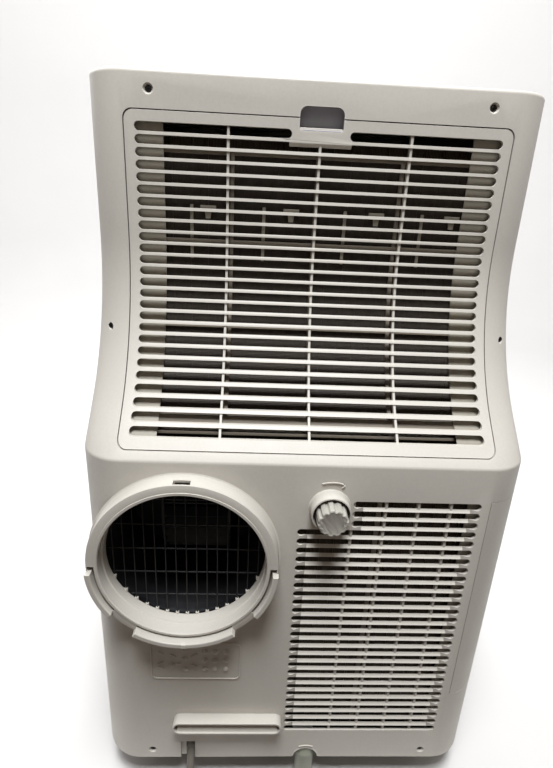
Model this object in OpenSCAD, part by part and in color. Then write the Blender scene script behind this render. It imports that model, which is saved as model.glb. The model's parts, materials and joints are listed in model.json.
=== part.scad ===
/* [Body] */
// Overall width of the casing
body_w = 410; // [400:2:420]
// Depth of the casing, front panel to lower rear panel
body_d = 384; // [380:2:392]
// Height of the casing's top edge above the floor
body_top = 724; // [720:1:732]
// Gap between the floor and the casing's lower edge
ground_gap = 38; // [37:1:40]
// Radius of the casing's upright corners
corner_r = 41; // [38:1:43]
// Thickness of the moulded shells
wall = 2.6; // [2.4:0.1:2.8]

/* [Rear profile] */
// Height of the shoulder, where the upper back leans out to the lower rear panel
shoulder_z = 410; // [407:1:412]
// How far the upper back stands in front of the lower rear panel
upper_setback = 92; // [88:1:95]
// Radius of the bend in the upper back
bend_r = 219; // [210:1:225]
// Lean of the slope above the shoulder, measured from upright
bend_angle = 44; // [42:1:46]

/* [Grilles] */
// Height of one slot
slot_h = 7.4; // [6.6:0.2:7.6]
// Step from slot to slot on the rear filter cover
cover_pitch = 10.06; // [9.96:0.02:10.08]
// Number of slots in the rear filter cover
cover_slots = 26; // [20:1:26]
// Step from slot to slot on the lower rear grille
rear_pitch = 10.22; // [10.1:0.02:10.3]
// Number of slots in the lower rear grille
rear_slots = 29; // [24:1:29]

/* [Exhaust port] */
// Inner radius of the exhaust port
port_r = 76; // [74:0.5:77]
// How far the port's collar stands out from the rear panel
port_out = 17.4; // [15:0.2:20]
// Sideways place of the port
port_x = 110; // [108:0.5:111]
// Height of the port's centre
port_z = 311; // [309:0.5:313]

/* [Casters] */
// Radius of a caster wheel
wheel_r = 15; // [14:0.5:15.5]
// How far a wheel trails behind its swivel axis
caster_trail = 9; // [7:0.5:10]

/* [Hidden] */
$fn = 96;

gap = 0.5; // seam between neighbouring mouldings
cap_out = 25; // how far the drain cap stands out from the rear panel
half_w = body_w / 2;
rear_y = (body_d - cap_out) / 2; // lower rear panel
front_y = rear_y - body_d;
upper_y = rear_y - upper_setback; // upright part of the upper back
split_y = rear_y - 160; // where the front and rear shells meet
inner_w = half_w - wall;

// Rear profile: a straight slope from the shoulder, then a bend, then upright
bend_out = bend_r * (1 - cos(bend_angle));
slope_h = (upper_setback - bend_out) / tan(bend_angle);
bend_z = shoulder_z + slope_h + bend_r * sin(bend_angle);
bend_steps = 9;
// Points of the rear profile as [y, z, lean], from the shoulder up to the upright part
profile = concat([[rear_y, shoulder_z, bend_angle]],
    [for (i = [0:bend_steps]) let (a = bend_angle * (1 - i / bend_steps))
        [upper_y + bend_r * (1 - cos(a)), bend_z - bend_r * sin(a), a]]);

function back_y(z) = z >= bend_z ? upper_y
    : z <= shoulder_z ? rear_y
    : z <= shoulder_z + slope_h ? rear_y - (z - shoulder_z) * tan(bend_angle)
    : upper_y + bend_r - sqrt(pow(bend_r, 2) - pow(bend_z - z, 2));

// Filter cover in the upper back
cover_half = 168.5;
cover_low = 417.5;
cover_high = 693.2;
cover_slot_half = 160;
cover_slot_z = 680.8; // centre of the top slot
cover_ribs = [-80, 0, 80];
tab_half = 26; // solid patch under the finger recess
recess_half = 19;
recess_low = 685;
recess_high = 705;
recess_deep = 14;

// Lower rear grille
rear_slot_z = 370.8;
rear_slot_right = -160.7;
rear_slot_left = 7;
short_slot_left = -42.4; // the top three slots stop short of the drain cap
short_slots = 3;
rear_ribs = [for (i = [0:3]) -133.4 + 30 * i];
rib_w = 2.4;

// Side cover, wrapping round the rear corner
side_low = 136;
side_high = 376;
side_wrap = -169; // its edge on the rear panel
side_front = -40; // its front edge
side_slots = 17;
side_pitch = 12;

// Drains
cap_x = -21;
cap_z = 367.5;
cap_r = 13.7;
spigot_ring_r = 18;
spigot_ring_out = 13;
pipe_x = -19.5;
pipe_r = 10.4;

// Bezel of the accessory slot
slot_x = [10, 126];
slot_z = [89.5, 106];
slot_out = 11.5;

// Cord, leaving through a notch in the rear panel's lower edge
cord_r = 4;
notch_x = [103.5, 119];
notch_top = 63;

// Casters
caster_x = 155;
caster_front_y = front_y + 52;
caster_rear_y = rear_y - 52;
wheel_w = 12;
stem_r = 4;
stem_play = 0.05;
pan_z = 40;
pan_floor = 3;
boss_top = 64;

// Upper and lower chambers
deck_z = 392;

module rounded_rect(x0, x1, y0, y1, r) {
    translate([x0 + r, y0]) square([x1 - x0 - 2 * r, y1 - y0]);
    translate([x0, y0 + r]) square([x1 - x0, y1 - y0 - 2 * r]);
    for (x = [x0 + r, x1 - r])
        for (y = [y0 + r, y1 - r])
            translate([x, y]) circle(r);
}

module plan(off, back) {
    rounded_rect(-half_w + off, half_w - off, front_y + off, back - off, corner_r - off);
}

// A block from y0 to y1 whose outline is drawn in x and z
module along_y(y0, y1) {
    translate([0, y1, 0]) rotate([90, 0, 0]) linear_extrude(y1 - y0) children();
}

module box(x, y, z) {
    translate([x[0], y[0], z[0]]) cube([x[1] - x[0], y[1] - y[0], z[1] - z[0]]);
}

module rod_y(x, z, r, y0, y1) {
    translate([x, y0, z]) rotate([-90, 0, 0]) cylinder(r = r, h = y1 - y0);
}

module rod_x(y, z, r, x0, x1) {
    translate([x0, y, z]) rotate([0, 90, 0]) cylinder(r = r, h = x1 - x0);
}

// Horizontal slot with round ends, cut along y
module slot_y(x0, x1, z, h, y0, y1) {
    r = h / 2;
    box([x0 + r, x1 - r], [y0, y1], [z - r, z + r]);
    for (x = [x0 + r, x1 - r]) rod_y(x, z, r, y0, y1);
}

// Plan outline as points; the casing is this outline shifted along y to follow the rear profile
corner_steps = 8;
function corner(cx, cy, r, a0) = [for (i = [0:corner_steps])
    [cx + r * cos(a0 + 90 * i / corner_steps), cy + r * sin(a0 + 90 * i / corner_steps)]];
function outline(off, back) = let (r = corner_r - off, cx = half_w - corner_r,
        cb = back - off - r, cf = front_y + corner_r)
    concat(corner(cx, cb, r, 0), corner(-cx, cb, r, 90), corner(-cx, cf, r, 180), corner(cx, cf, r, 270));

module casing_body(off, reach) {
    count = 4 * (corner_steps + 1);
    levels = concat([[rear_y, ground_gap - reach, 0], [rear_y, shoulder_z, 0]],
        [for (i = [1:len(profile) - 1]) profile[i]], [[upper_y, body_top + reach, 0]]);
    rows = len(levels);
    shift = [for (p = levels) off / cos(p[2]) - off];
    points = [for (j = [0:rows - 1]) for (q = outline(off, levels[j][0] - shift[j])) [q[0], q[1], levels[j][1]]];
    sides = [for (j = [0:rows - 2]) for (i = [0:count - 1]) let (n = (i + 1) % count)
        [j * count + i, (j + 1) * count + i, (j + 1) * count + n, j * count + n]];
    lower = [[for (i = [0:count - 1]) i]];
    upper = [[for (i = [count - 1:-1:0]) (rows - 1) * count + i]];
    polyhedron(points, concat(lower, upper, sides));
}

// Casing wall between the floor gap and the top edge, as a tube open at both ends
module casing() difference() {
    casing_body(0, 0);
    casing_body(wall, 1);
}

// Band that follows the rear profile between two depths under its surface
module profile_band(d0, d1, x0, x1, z0, z1) {
    outer = [for (p = profile) [p[0] - d0 / cos(p[2]), p[1]]];
    inner = [for (p = profile) [p[0] - d1 / cos(p[2]), p[1]]];
    rows = len(profile);
    band = concat([for (i = [0:rows - 1]) outer[i]], [[upper_y - d0, body_top], [upper_y - d1, body_top]],
        [for (i = [rows - 1:-1:0]) inner[i]]);
    intersection() {
        translate([x0, 0, 0]) rotate([90, 0, 90]) linear_extrude(x1 - x0) polygon(band);
        box([x0, x1], [front_y, rear_y + 1], [z0, z1]);
    }
}

module cover_opening(play) {
    along_y(front_y + 100, rear_y + 1)
        rounded_rect(-cover_half - play, cover_half + play, cover_low - play, cover_high + play, 8 + play);
}

module side_opening(play) {
    z = [side_low - play, side_high + play];
    box([-half_w - 1, side_wrap + play], [rear_y - corner_r, rear_y + 1], z);
    box([-half_w - 1, -half_w + corner_r / 2], [side_front - play, rear_y - corner_r + 1], z);
}

// ---- Casing
module rear_shell() color("antiquewhite") {
    rear_moulding();
    // back wall of the finger recess, reaching down behind the filter cover's lip
    box([-recess_half - wall, recess_half + wall], [upper_y - recess_deep - wall, upper_y - recess_deep],
        [cover_slot_z - 3, cover_high + 4]);
}

module rear_moulding() difference() {
    union() {
        intersection() {
            casing();
            box([-half_w - 1, half_w + 1], [split_y + gap / 2, rear_y + 1], [0, body_top + 1]);
        }
        // pocket behind the finger recess
        box([-recess_half - wall, recess_half + wall], [upper_y - recess_deep - wall, upper_y - wall / 2],
            [cover_high + 1.4, recess_high + wall]);
        for (p = screw_places) rod_y(p[0], p[1], 5, p[2] - 14, p[2] - wall / 2);
        // ribs behind the lower grille
        for (x = rear_ribs)
            box([x - rib_w / 2, x + rib_w / 2], [rear_y - wall - 2.5, rear_y - wall / 2],
                [rear_slot_z - rear_pitch * (rear_slots - 0.4), rear_slot_z + rear_pitch * 0.6]);
    }
    cover_opening(1);
    side_opening(0);
    box([-recess_half, recess_half], [upper_y - recess_deep, upper_y + 1], [cover_high - 5, recess_high]);
    rod_y(port_x, port_z, port_r + 6, rear_y - 20, rear_y + 1);
    rod_y(cap_x, cap_z, spigot_ring_r - 2, rear_y - 20, rear_y + 1);
    box([slot_x[0] + 2, slot_x[1] - 2], [rear_y - 20, rear_y + 1], [slot_z[0] + 2, slot_z[1] - 2]);
    for (i = [0:rear_slots - 1])
        slot_y(rear_slot_right, i < short_slots ? short_slot_left : rear_slot_left,
            rear_slot_z - rear_pitch * i, slot_h, rear_y - wall - 1, rear_y + 1);
    // arch for the lower drain and notch for the cord
    rod_y(pipe_x, ground_gap + 1, 13.6, rear_y - 20, rear_y + 1);
    box(notch_x, [rear_y - 20, rear_y + 1], [0, notch_top]);
    // screw recesses
    for (p = screw_places) {
        rod_y(p[0], p[1], screw_head_r + screw_play, p[2] - wall - 1, p[2] + 12);
        rod_y(p[0], p[1], screw_shank_r + screw_play / 3, p[2] - 15, p[2] + 1);
    }
}

corner_screw_x = 188;
corner_screw_z = 508;
corner_screw_y = back_y(corner_screw_z) - corner_r
    + sqrt(pow(corner_r, 2) - pow(corner_screw_x - half_w + corner_r, 2));
// Screws through the rear shell as [x, z, y of the surface]
screw_places = [[-147, 709, upper_y], [147, 709, upper_y], [-corner_screw_x, corner_screw_z, corner_screw_y],
    [corner_screw_x, corner_screw_z, corner_screw_y], [-150, 50, rear_y], [150, 50, rear_y]];
screw_head_r = 3;
screw_shank_r = 1.6;
screw_play = 0.3;

module shell_screws() color("dimgray")
    for (p = screw_places) {
        rod_y(p[0], p[1], screw_head_r, p[2] - wall - 1, p[2] - 0.6);
        rod_y(p[0], p[1], screw_shank_r, p[2] - 13, p[2] - wall - 1);
    }

outlet_half = 150;
outlet_low = 600;
outlet_high = 684;

module front_shell() color("antiquewhite") difference() {
    intersection() {
        casing();
        box([-half_w - 1, half_w + 1], [front_y - 1, split_y - gap / 2], [0, body_top + 1]);
    }
    side_opening(0);
    along_y(front_y - 1, front_y + 20)
        rounded_rect(-outlet_half, outlet_half, outlet_low, outlet_high, 8);
    for (s = [-1, 1])
        translate([s * half_w, 0, 0]) rotate([90, 0, 90]) translate([0, 0, -10]) linear_extrude(20)
            rounded_rect(handle_y[0], handle_y[1], handle_z[0], handle_z[1], 10);
}

handle_y = [-110, 0];
handle_z = [604, 640];
handle_deep = 24;

module side_handles() color("antiquewhite") for (s = [-1, 1])
    mirror([s < 0 ? 1 : 0, 0, 0])
        difference() {
            union() {
                translate([half_w - handle_deep, 0, 0]) rotate([90, 0, 90]) linear_extrude(handle_deep)
                    rounded_rect(handle_y[0] + gap / 2, handle_y[1] - gap / 2,
                        handle_z[0] + gap / 2, handle_z[1] - gap / 2, 9.8);
            }
            translate([half_w - handle_deep + 2, 0, 0]) rotate([90, 0, 90]) linear_extrude(handle_deep)
                rounded_rect(handle_y[0] + 2.5, handle_y[1] - 2.5, handle_z[0] + 2.5, handle_z[1] - 2.5, 7.5);
        }

// ---- Top
panel_half = 105;
panel_y = [front_y + 34, front_y + 104];
top_rise = 8; // the raised middle of the top panel
skin = 3;
panel_top = body_top + top_rise + 1;

module top_plateau(inset) {
    rounded_rect(-half_w + 30 + inset, half_w - 30 - inset, front_y + 18 + inset, upper_y - 70 - inset, 24 - inset);
}

module panel_outline(play) {
    rounded_rect(-panel_half - play, panel_half + play, panel_y[0] - play, panel_y[1] + play, 12 + play);
}

module top_panel() color("antiquewhite") difference() {
    union() {
        difference() {
            union() {
                translate([0, 0, body_top - 9]) linear_extrude(9) plan(wall + gap, upper_y);
                translate([0, 0, body_top - 1]) linear_extrude(top_rise + 1) top_plateau(0);
            }
            // hollow underside
            translate([0, 0, body_top - 10]) linear_extrude(10 - skin) plan(wall * 2 + gap, upper_y);
            translate([0, 0, body_top - 5]) linear_extrude(5 + top_rise - skin) top_plateau(skin);
        }
        // well that holds the control panel
        translate([0, 0, body_top - 5]) linear_extrude(top_rise + 3) panel_outline(2.5);
    }
    translate([0, 0, body_top - 2]) linear_extrude(20) panel_outline(0);
    translate([0, 0, body_top - 6]) linear_extrude(20) panel_outline(-5);
}

button_r = 7;
button_y = panel_y[0] + 20;
function button_x(i) = -72 + 28 * i;
display_x = [44, 92];
display_y = [panel_y[0] + 14, panel_y[1] - 14];

module control_panel() color("dimgray") difference() {
    translate([0, 0, body_top - 2]) linear_extrude(panel_top - body_top + 2) panel_outline(-gap);
    for (i = [0:3]) translate([button_x(i), button_y, 0]) cylinder(r = button_r + 0.4, h = 2 * body_top);
    box(display_x, display_y, [panel_top - 2.5, panel_top + 5]);
    // hollow underside
    translate([0, 0, body_top - 3]) linear_extrude(panel_top - body_top - 1)
        difference() {
            panel_outline(-4);
            for (i = [0:3]) translate([button_x(i), button_y]) circle(button_r + 2.4);
        }
}

module display_window() color("black")
    box([display_x[0] + 0.2, display_x[1] - 0.2], [display_y[0] + 0.2, display_y[1] - 0.2],
        [panel_top - 2.5, panel_top - 0.6]);

module button(i) color("whitesmoke") translate([button_x(i), button_y, panel_top - 1]) difference() {
    union() {
        translate([0, 0, -5]) cylinder(r = button_r, h = 6.6);
        translate([0, 0, -7]) cylinder(r = 2, h = 3);
    }
    translate([0, 0, 1.2]) cylinder(r = button_r - 2, h = 2);
}

// ---- Filter cover
module filter_cover() color("antiquewhite") difference() {
    union() {
        intersection() {
            profile_band(0, wall, -cover_half, cover_half, cover_low, cover_high);
            cover_opening(0);
        }
        for (x = cover_ribs)
            profile_band(wall / 2, wall + 3, x - rib_w / 2, x + rib_w / 2, 422, 686);
        // pull lip under the finger recess
        box([-recess_half + 0.6, recess_half - 0.6], [upper_y - recess_deep + 0.5, upper_y - wall / 2],
            [cover_slot_z - 6, cover_high - 1]);
    }
    box([-recess_half, recess_half], [upper_y - recess_deep + 3, upper_y + 1], [recess_low, cover_high + 1]);
    for (i = [0:cover_slots - 1]) let (z = cover_slot_z - cover_pitch * i, y = back_y(z))
        if (i == 0)
            for (s = [-1, 1])
                slot_y(min(s * cover_slot_half, s * tab_half), max(s * cover_slot_half, s * tab_half),
                    z, slot_h, y - wall - 0.4, y + 8);
        else
            difference() {
                slot_y(-cover_slot_half, cover_slot_half, z, slot_h, y - 14, y + 14);
                for (x = cover_ribs)
                    profile_band(wall, wall + 4, x - rib_w / 2, x + rib_w / 2, 422, 686);
            }
}

frame_d = [wall + 5, wall + 8];
frame_z = [432, 668];
module filter_frame() color("gainsboro") difference() {
    profile_band(frame_d[0], frame_d[1], -157, 157, frame_z[0], frame_z[1]);
    for (i = [0:3])
        for (j = [0:2])
            box([-151 + 76.4 * i, -151 + 76.4 * i + 72.8], [front_y, rear_y], [438 + 76 * j, 438 + 76 * j + 72]);
}

module filter_mesh() color("dimgray")
    profile_band(frame_d[1], frame_d[1] + 0.8, -156, 156, frame_z[0] + 1, frame_z[1] - 1);

// ---- Side cover
module side_cover() color("antiquewhite") difference() {
    intersection() {
        casing();
        union() {
            box([-half_w - 1, side_wrap - gap], [rear_y - corner_r, rear_y + 1], [side_low + gap, side_high - gap]);
            box([-half_w - 1, -half_w + corner_r / 2], [side_front + gap, rear_y - corner_r + 1],
                [side_low + gap, side_high - gap]);
        }
    }
    for (i = [0:side_slots - 1])
        translate([-half_w, 0, side_low + 24 + side_pitch * i]) rotate([0, 0, 90])
            slot_y(side_front + 22, rear_y - corner_r - 12, 0, 6, -10, 10);
}

module side_filter() color("dimgray") difference() {
    box([-inner_w + 1.5, -inner_w + 4.5], [side_front + 12, rear_y - corner_r - 2], [side_low + 10, side_high - 10]);
    for (i = [0:2])
        box([-inner_w + 1, -inner_w + 3.9], [side_front + 17 + 53 * i, side_front + 17 + 53 * i + 48],
            [side_low + 16, side_high - 16]);
}

// ---- Exhaust port
collar_r = port_r + 10.6;
rim_r = port_r + 3.2; // inner rim; the groove behind the lips starts here
groove_r = rim_r + 2.2;
// Bayonet lips as [start, end, how far past the ring]; angles go from +X downwards
lips = [[2, 37, 5], [143, 178, 5], [57, 124, 7]];
module ring_sector(r0, r1, a0, a1, y0, y1) {
    translate([port_x, y0, port_z]) rotate([-90, 0, 0]) rotate([0, 0, a0])
        rotate_extrude(angle = a1 - a0) translate([r0, 0]) square([r1 - r0, y1 - y0]);
}

module exhaust_collar() color("antiquewhite") difference() {
    union() {
        ring_sector(port_r, port_r + 5.6, 0, 360, rear_y - wall - 4, rear_y + 0.01);
        ring_sector(port_r, collar_r, 0, 360, rear_y, rear_y + port_out);
        for (lip = lips)
            ring_sector(groove_r, collar_r + 0.6, lip[0], lip[1], rear_y + 6, rear_y + port_out + lip[2]);
    }
    for (lip = lips)
        ring_sector(rim_r, groove_r, lip[0], lip[1], rear_y + port_out - 6, rear_y + port_out + 1);
    // latch slot at the top, behind a thin front wall
    box([port_x - 7.5, port_x + 7.5], [rear_y + port_out - 8.5, rear_y + port_out - 1.6],
        [port_z + rim_r + 0.5, port_z + port_r + 20]);
}

guard_y = rear_y - wall - 4;
module duct_guard() color("dimgray") intersection() {
    union() {
        ring_sector(port_r - 2, port_r + 5, 0, 360, guard_y - 3, guard_y);
        for (i = [-7:7])
            box([port_x + 9.8 * i - 0.8, port_x + 9.8 * i + 0.8], [guard_y - 1.8, guard_y], [port_z - 80, port_z + 80]);
        for (i = [-2:2])
            box([port_x - 80, port_x + 80], [guard_y - 3, guard_y - 1.2],
                [port_z + 2 + 27 * i - 0.8, port_z + 2 + 27 * i + 0.8]);
    }
    rod_y(port_x, port_z, port_r + 5, guard_y - 5, guard_y + 1);
}

// ---- Exhaust fan, on a sideways shaft in the lower chamber
fan_y = 30;
fan_z = 300;
fan_x = [66, 150];
fan_r = 74;
duct_y = guard_y - 3 - gap;
scroll_r = 82;
duct_start = fan_y + 38; // clears the motor beside the scroll

module exhaust_housing() color("gainsboro") difference() {
    union() {
        rod_x(fan_y, fan_z, scroll_r + 2, fan_x[0] - 2, fan_x[1] + 2);
        rod_y(port_x, port_z, port_r + 3, duct_start, duct_y);
    }
    rod_x(fan_y, fan_z, scroll_r, fan_x[0], fan_x[1]);
    rod_y(port_x, port_z, port_r, duct_start + 3, duct_y + 1);
    // air inlet, towards the condenser
    rod_x(fan_y, fan_z, 52, fan_x[0] - 6, fan_x[0] + 1);
    // shaft hole
    rod_x(fan_y, fan_z, 6, fan_x[1] - 1, fan_x[1] + 6);
}

// Squirrel-cage wheel: back plate, blades, front ring and hub, along +z from zero
module cage_wheel(r, h, blades, bore) {
    difference() {
        union() {
            cylinder(r = r, h = 2);
            cylinder(r = 12, h = h * 0.45);
            translate([0, 0, h - 3]) difference() {
                cylinder(r = r, h = 3);
                translate([0, 0, -1]) cylinder(r = r - 12, h = 5);
            }
            for (i = [0:blades - 1])
                rotate([0, 0, 360 * i / blades]) translate([r - 11, 0, 1]) rotate([0, 0, 32])
                    translate([0, -0.8, 0]) cube([11.4, 1.6, h - 2]);
        }
        translate([0, 0, -1]) cylinder(r = bore, h = h);
    }
}

module exhaust_wheel() color("slategray")
    translate([fan_x[1] - 4, fan_y, fan_z]) rotate([0, -90, 0]) cage_wheel(fan_r, fan_x[1] - fan_x[0] - 10, 30, 4.05);

module exhaust_motor() color("silver") {
    rod_x(fan_y, fan_z, 32, fan_x[1] + 3, inner_w - 10);
    rod_x(fan_y, fan_z, 4, fan_x[1] - 30, fan_x[1] + 3);
}

// ---- Drains
module drain_spigot() color("antiquewhite") translate([cap_x, rear_y, cap_z]) rotate([-90, 0, 0]) {
    difference() {
        union() {
            cylinder(r = spigot_ring_r, h = spigot_ring_out);
            translate([0, 0, -wall - 4]) cylinder(r = spigot_ring_r - 2.4, h = wall + 5);
        }
        translate([0, 0, 1]) cylinder(r = spigot_ring_r - 1.4, h = spigot_ring_out);
    }
    difference() {
        translate([0, 0, 0.5]) cylinder(r = 7, h = 10.5);
        translate([0, 0, 2]) cylinder(r = 5, h = 12);
    }
}

flutes = 12;
module drain_cap() color("antiquewhite") translate([cap_x, rear_y, cap_z]) rotate([-90, 0, 0]) difference() {
    translate([0, 0, 2]) cylinder(r = cap_r, h = cap_out - 2);
    translate([0, 0, 1]) cylinder(r = 7.05, h = 11);
    for (i = [0:flutes - 1])
        rotate([0, 0, 360 * (i + 0.5) / flutes]) translate([cap_r + 2.2, 0, 1]) cylinder(r = 3.4, h = cap_out);
}

pipe_tilt = 8;
module drain_pipe() color("darkseagreen") difference() {
    union() {
        translate([pipe_x, rear_y - 11, 49]) rotate([pipe_tilt, 0, 0]) translate([0, 0, -38]) cylinder(r = pipe_r, h = 38);
        rod_y(pipe_x, 41, 7, rear_y - 44, rear_y - 11);
    }
    rod_y(pipe_x, 41, 5, rear_y - 45, rear_y - 16);
}

module accessory_slot() color("antiquewhite") difference() {
    union() {
        along_y(rear_y, rear_y + slot_out) rounded_rect(slot_x[0], slot_x[1], slot_z[0], slot_z[1], 8.2);
        along_y(rear_y - 10, rear_y)
            rounded_rect(slot_x[0] + 2.5, slot_x[1] - 2.5, slot_z[0] + 2.5, slot_z[1] - 2.5, 5.6);
    }
    along_y(rear_y - 8, rear_y + slot_out + 1)
        rounded_rect(slot_x[0] + 4.5, slot_x[1] - 4.5, slot_z[0] + 4.5, slot_z[1] - 4.5, 3.7);
}

// ---- Base
module base_pan() color("gray") difference() {
    union() {
        translate([0, 0, pan_z]) linear_extrude(pan_floor) plan(wall + gap, rear_y);
        translate([0, 0, pan_z]) linear_extrude(16) difference() {
            plan(wall + gap, rear_y);
            plan(2 * wall + gap, rear_y);
        }
        for (x = [-caster_x, caster_x])
            for (y = [caster_front_y, caster_rear_y])
                translate([x, y, pan_z]) cylinder(r = 11, h = boss_top - pan_z);
    }
    for (x = [-caster_x, caster_x])
        for (y = [caster_front_y, caster_rear_y])
            translate([x, y, pan_z - 1]) cylinder(r = stem_r + stem_play, h = boss_top - pan_z - 2);
    // clearance for the drain pipe and the cord gland
    box([pipe_x - 12, pipe_x + 12], [rear_y - 46, rear_y + 1], [pan_z - 1, 60]);
    box([notch_x[0] - 4, notch_x[1] + 4], [rear_y - 46, rear_y + 1], [pan_z - 1, 66]);
    for (x = [-150, 150]) rod_y(x, 50, 5.5, rear_y - 20, rear_y + 1);
}

fork_top = ground_gap;
module caster_fork(at) color("dimgray") translate([at[0], at[1], 0]) difference() {
    union() {
        cylinder_at(0, 0, fork_top - 4, 13, 4);
        cylinder_at(0, 0, fork_top - 1, stem_r, boss_top - fork_top - 4);
        for (s = [-1, 1]) translate([s * (wheel_w / 2 + 1.8) - 1.3, 0, 0])
            hull() {
                translate([0, -8, fork_top - 4]) cube([2.6, 18, 2]);
                translate([0, caster_trail - 5, wheel_r - 5]) cube([2.6, 10, 6]);
            }
    }
    translate([-20, caster_trail, wheel_r]) rotate([0, 90, 0]) cylinder(r = 2.5, h = 40);
}

module cylinder_at(x, y, z, r, h) {
    translate([x, y, z]) cylinder(r = r, h = h);
}

module caster_axle(at) color("silver")
    rod_x(at[1] + caster_trail, wheel_r, 2.5, at[0] - wheel_w / 2 - 3.6, at[0] + wheel_w / 2 + 3.6);

module caster_wheel(at) color("black") difference() {
    rod_x(at[1] + caster_trail, wheel_r, wheel_r, at[0] - wheel_w / 2, at[0] + wheel_w / 2);
    rod_x(at[1] + caster_trail, wheel_r, 2.55, at[0] - wheel_w, at[0] + wheel_w);
    for (s = [-1, 1])
        translate([at[0] + s * wheel_w / 2, at[1] + caster_trail, wheel_r]) rotate([0, 90, 0])
            difference() {
                cylinder(r = wheel_r - 3.5, h = 3, center = true);
                cylinder(r = 5, h = 4, center = true);
            }
}

// ---- Upper chamber
tray_y = [upper_y - 58, upper_y + 20];
module mid_deck() color("gainsboro") {
    difference() {
        union() {
            box([-inner_w + 1, inner_w - 1], [front_y + wall + 45, rear_y - 50], [deck_z, deck_z + 4]);
            box([-170, 170], tray_y, [deck_z + 1, deck_z + 18]);
        }
        // drip tray under the evaporator
        box([-167, 167], [tray_y[0] + 3, tray_y[1] - 3], [deck_z + 4, deck_z + 30]);
        // passage for the suction pipe
        box([pipe_run[0] - 7, pipe_run[0] + 7], [comp_y - 8, comp_y + 8], [deck_z - 1, deck_z + 30]);
    }
    // drip board from the tray up to the filter opening
    translate([0, tray_y[1] - 1.5, deck_z + 16]) rotate([22, 0, 0])
        box([-169, 169], [0, 42], [-3, 0]);
}

evap_y = [upper_y - 54, upper_y - 22];
evap_z = [deck_z + 6, 676];
coil_half = 150;
module evaporator() color("silver") {
    fin_block([-coil_half, coil_half], evap_y, evap_z, 18);
    for (s = [-1, 1]) box([s * (coil_half + 3) - 1, s * (coil_half + 3) + 1], evap_y, evap_z);
}

// Fin pack: a solid core with upright fins standing out of its faces
module fin_block(x, y, z, fins) {
    box(x, [y[0] + 2, y[1] - 2], z);
    step = (x[1] - x[0]) / fins;
    for (i = [0:fins]) box([x[0] + step * i - 1, x[0] + step * i + 1], y, z);
}

module condenser() color("silver") {
    y = [rear_y - 46, rear_y - 14];
    z = [70, 382];
    fin_block([-150, 8], y, z, 12);
    box([-188, -160], [side_front + 6, rear_y - 52], z);
    box([-188, -151], [rear_y - 52, rear_y - 45], [70, 382]);
}

comp_x = 72;
comp_y = -96;
comp_r = 56;
comp_z = [66, 250];
module compressor() color("black") translate([comp_x, comp_y, 0]) {
    rotate_extrude() polygon(concat([[0, comp_z[0]]],
        [for (i = [0:6]) [comp_r - 24 + 24 * sin(15 * i), comp_z[0] + 24 - 24 * cos(15 * i)]],
        [for (i = [0:6]) [comp_r - 24 + 24 * cos(15 * i), comp_z[1] - 24 + 24 * sin(15 * i)]], [[0, comp_z[1]]]));
    for (a = [30, 150, 270]) rotate([0, 0, a])
        difference() {
            box([20, comp_r + 22], [-12, 12], [comp_z[0] - 4, comp_z[0]]);
            translate([comp_r + 10, 0, 0]) cylinder(r = 6, h = 100);
        }
}

module compressor_grommets() color("dimgray") translate([comp_x, comp_y, 0]) for (a = [30, 150, 270])
    rotate([0, 0, a]) translate([comp_r + 10, 0, pan_z + pan_floor]) {
        cylinder(r = 9, h = comp_z[0] - 4 - pan_z - pan_floor);
        cylinder(r = 5.6, h = comp_z[0] + 6 - pan_z - pan_floor);
    }

pipe_run = [-180, -30];
module refrigerant_pipes() color("peru") {
    // discharge to the condenser
    rod_z(comp_x - 20, comp_y, 4, comp_z[1], 300);
    rod_x(comp_y, 300, 4, pipe_run[0] - 4, comp_x - 16);
    rod_y(pipe_run[0], 300, 4, comp_y, side_front + 6);
    // suction from the evaporator
    rod_z(comp_x + 20, comp_y, 5, comp_z[1], 340);
    rod_x(comp_y, 340, 5, pipe_run[0] - 5, comp_x + 25);
    rod_z(pipe_run[0], comp_y, 5, 340, 470);
    rod_y(pipe_run[0], 470, 5, comp_y, evap_y[0] + 12);
    rod_x(evap_y[0] + 12, 470, 5, pipe_run[0] - 5, -coil_half - 4);
}

module rod_z(x, y, r, z0, z1) {
    translate([x, y, z0]) cylinder(r = r, h = z1 - z0);
}

blow_y = [-110, -30];
blow_z = 520;
blow_r = 92;
module blower_housing() color("gainsboro") difference() {
    union() {
        rod_y(0, blow_z, blow_r + 14, blow_y[0] - 2, blow_y[1] + 2);
        box([-blow_r - 14, blow_r + 14], [blow_y[0] - 2, blow_y[1] + 2], [blow_z, outlet_high + 2]);
        box([-outlet_half + 8, outlet_half - 8], [front_y + 34, blow_y[1] + 2], [outlet_low + 12, outlet_high + 2]);
    }
    rod_y(0, blow_z, blow_r + 12, blow_y[0], blow_y[1]);
    box([-blow_r - 12, blow_r + 12], blow_y, [blow_z, outlet_high]);
    box([-outlet_half + 10, outlet_half - 10], [front_y + 30, blow_y[1]], [outlet_low + 14, outlet_high]);
    rod_y(0, blow_z, 70, blow_y[1] - 1, blow_y[1] + 5);
    rod_y(0, blow_z, 6, blow_y[0] - 5, blow_y[0] + 1);
}

module blower_wheel() color("slategray")
    translate([0, blow_y[0] + 6, blow_z]) rotate([-90, 0, 0]) cage_wheel(blow_r, blow_y[1] - blow_y[0] - 12, 36, 4.05);

module blower_motor() color("silver") {
    rod_y(0, blow_z, 36, blow_y[0] - 60, blow_y[0] - 3);
    rod_y(0, blow_z, 4, blow_y[0] - 3, blow_y[0] + 34);
}

control_box_x = [118, 192];
module control_box() color("gainsboro") difference() {
    box(control_box_x, [-150, -24], [430, 588]);
    box([control_box_x[0] + 2, control_box_x[1] - 2], [-148, -20], [432, 586]);
}

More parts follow.
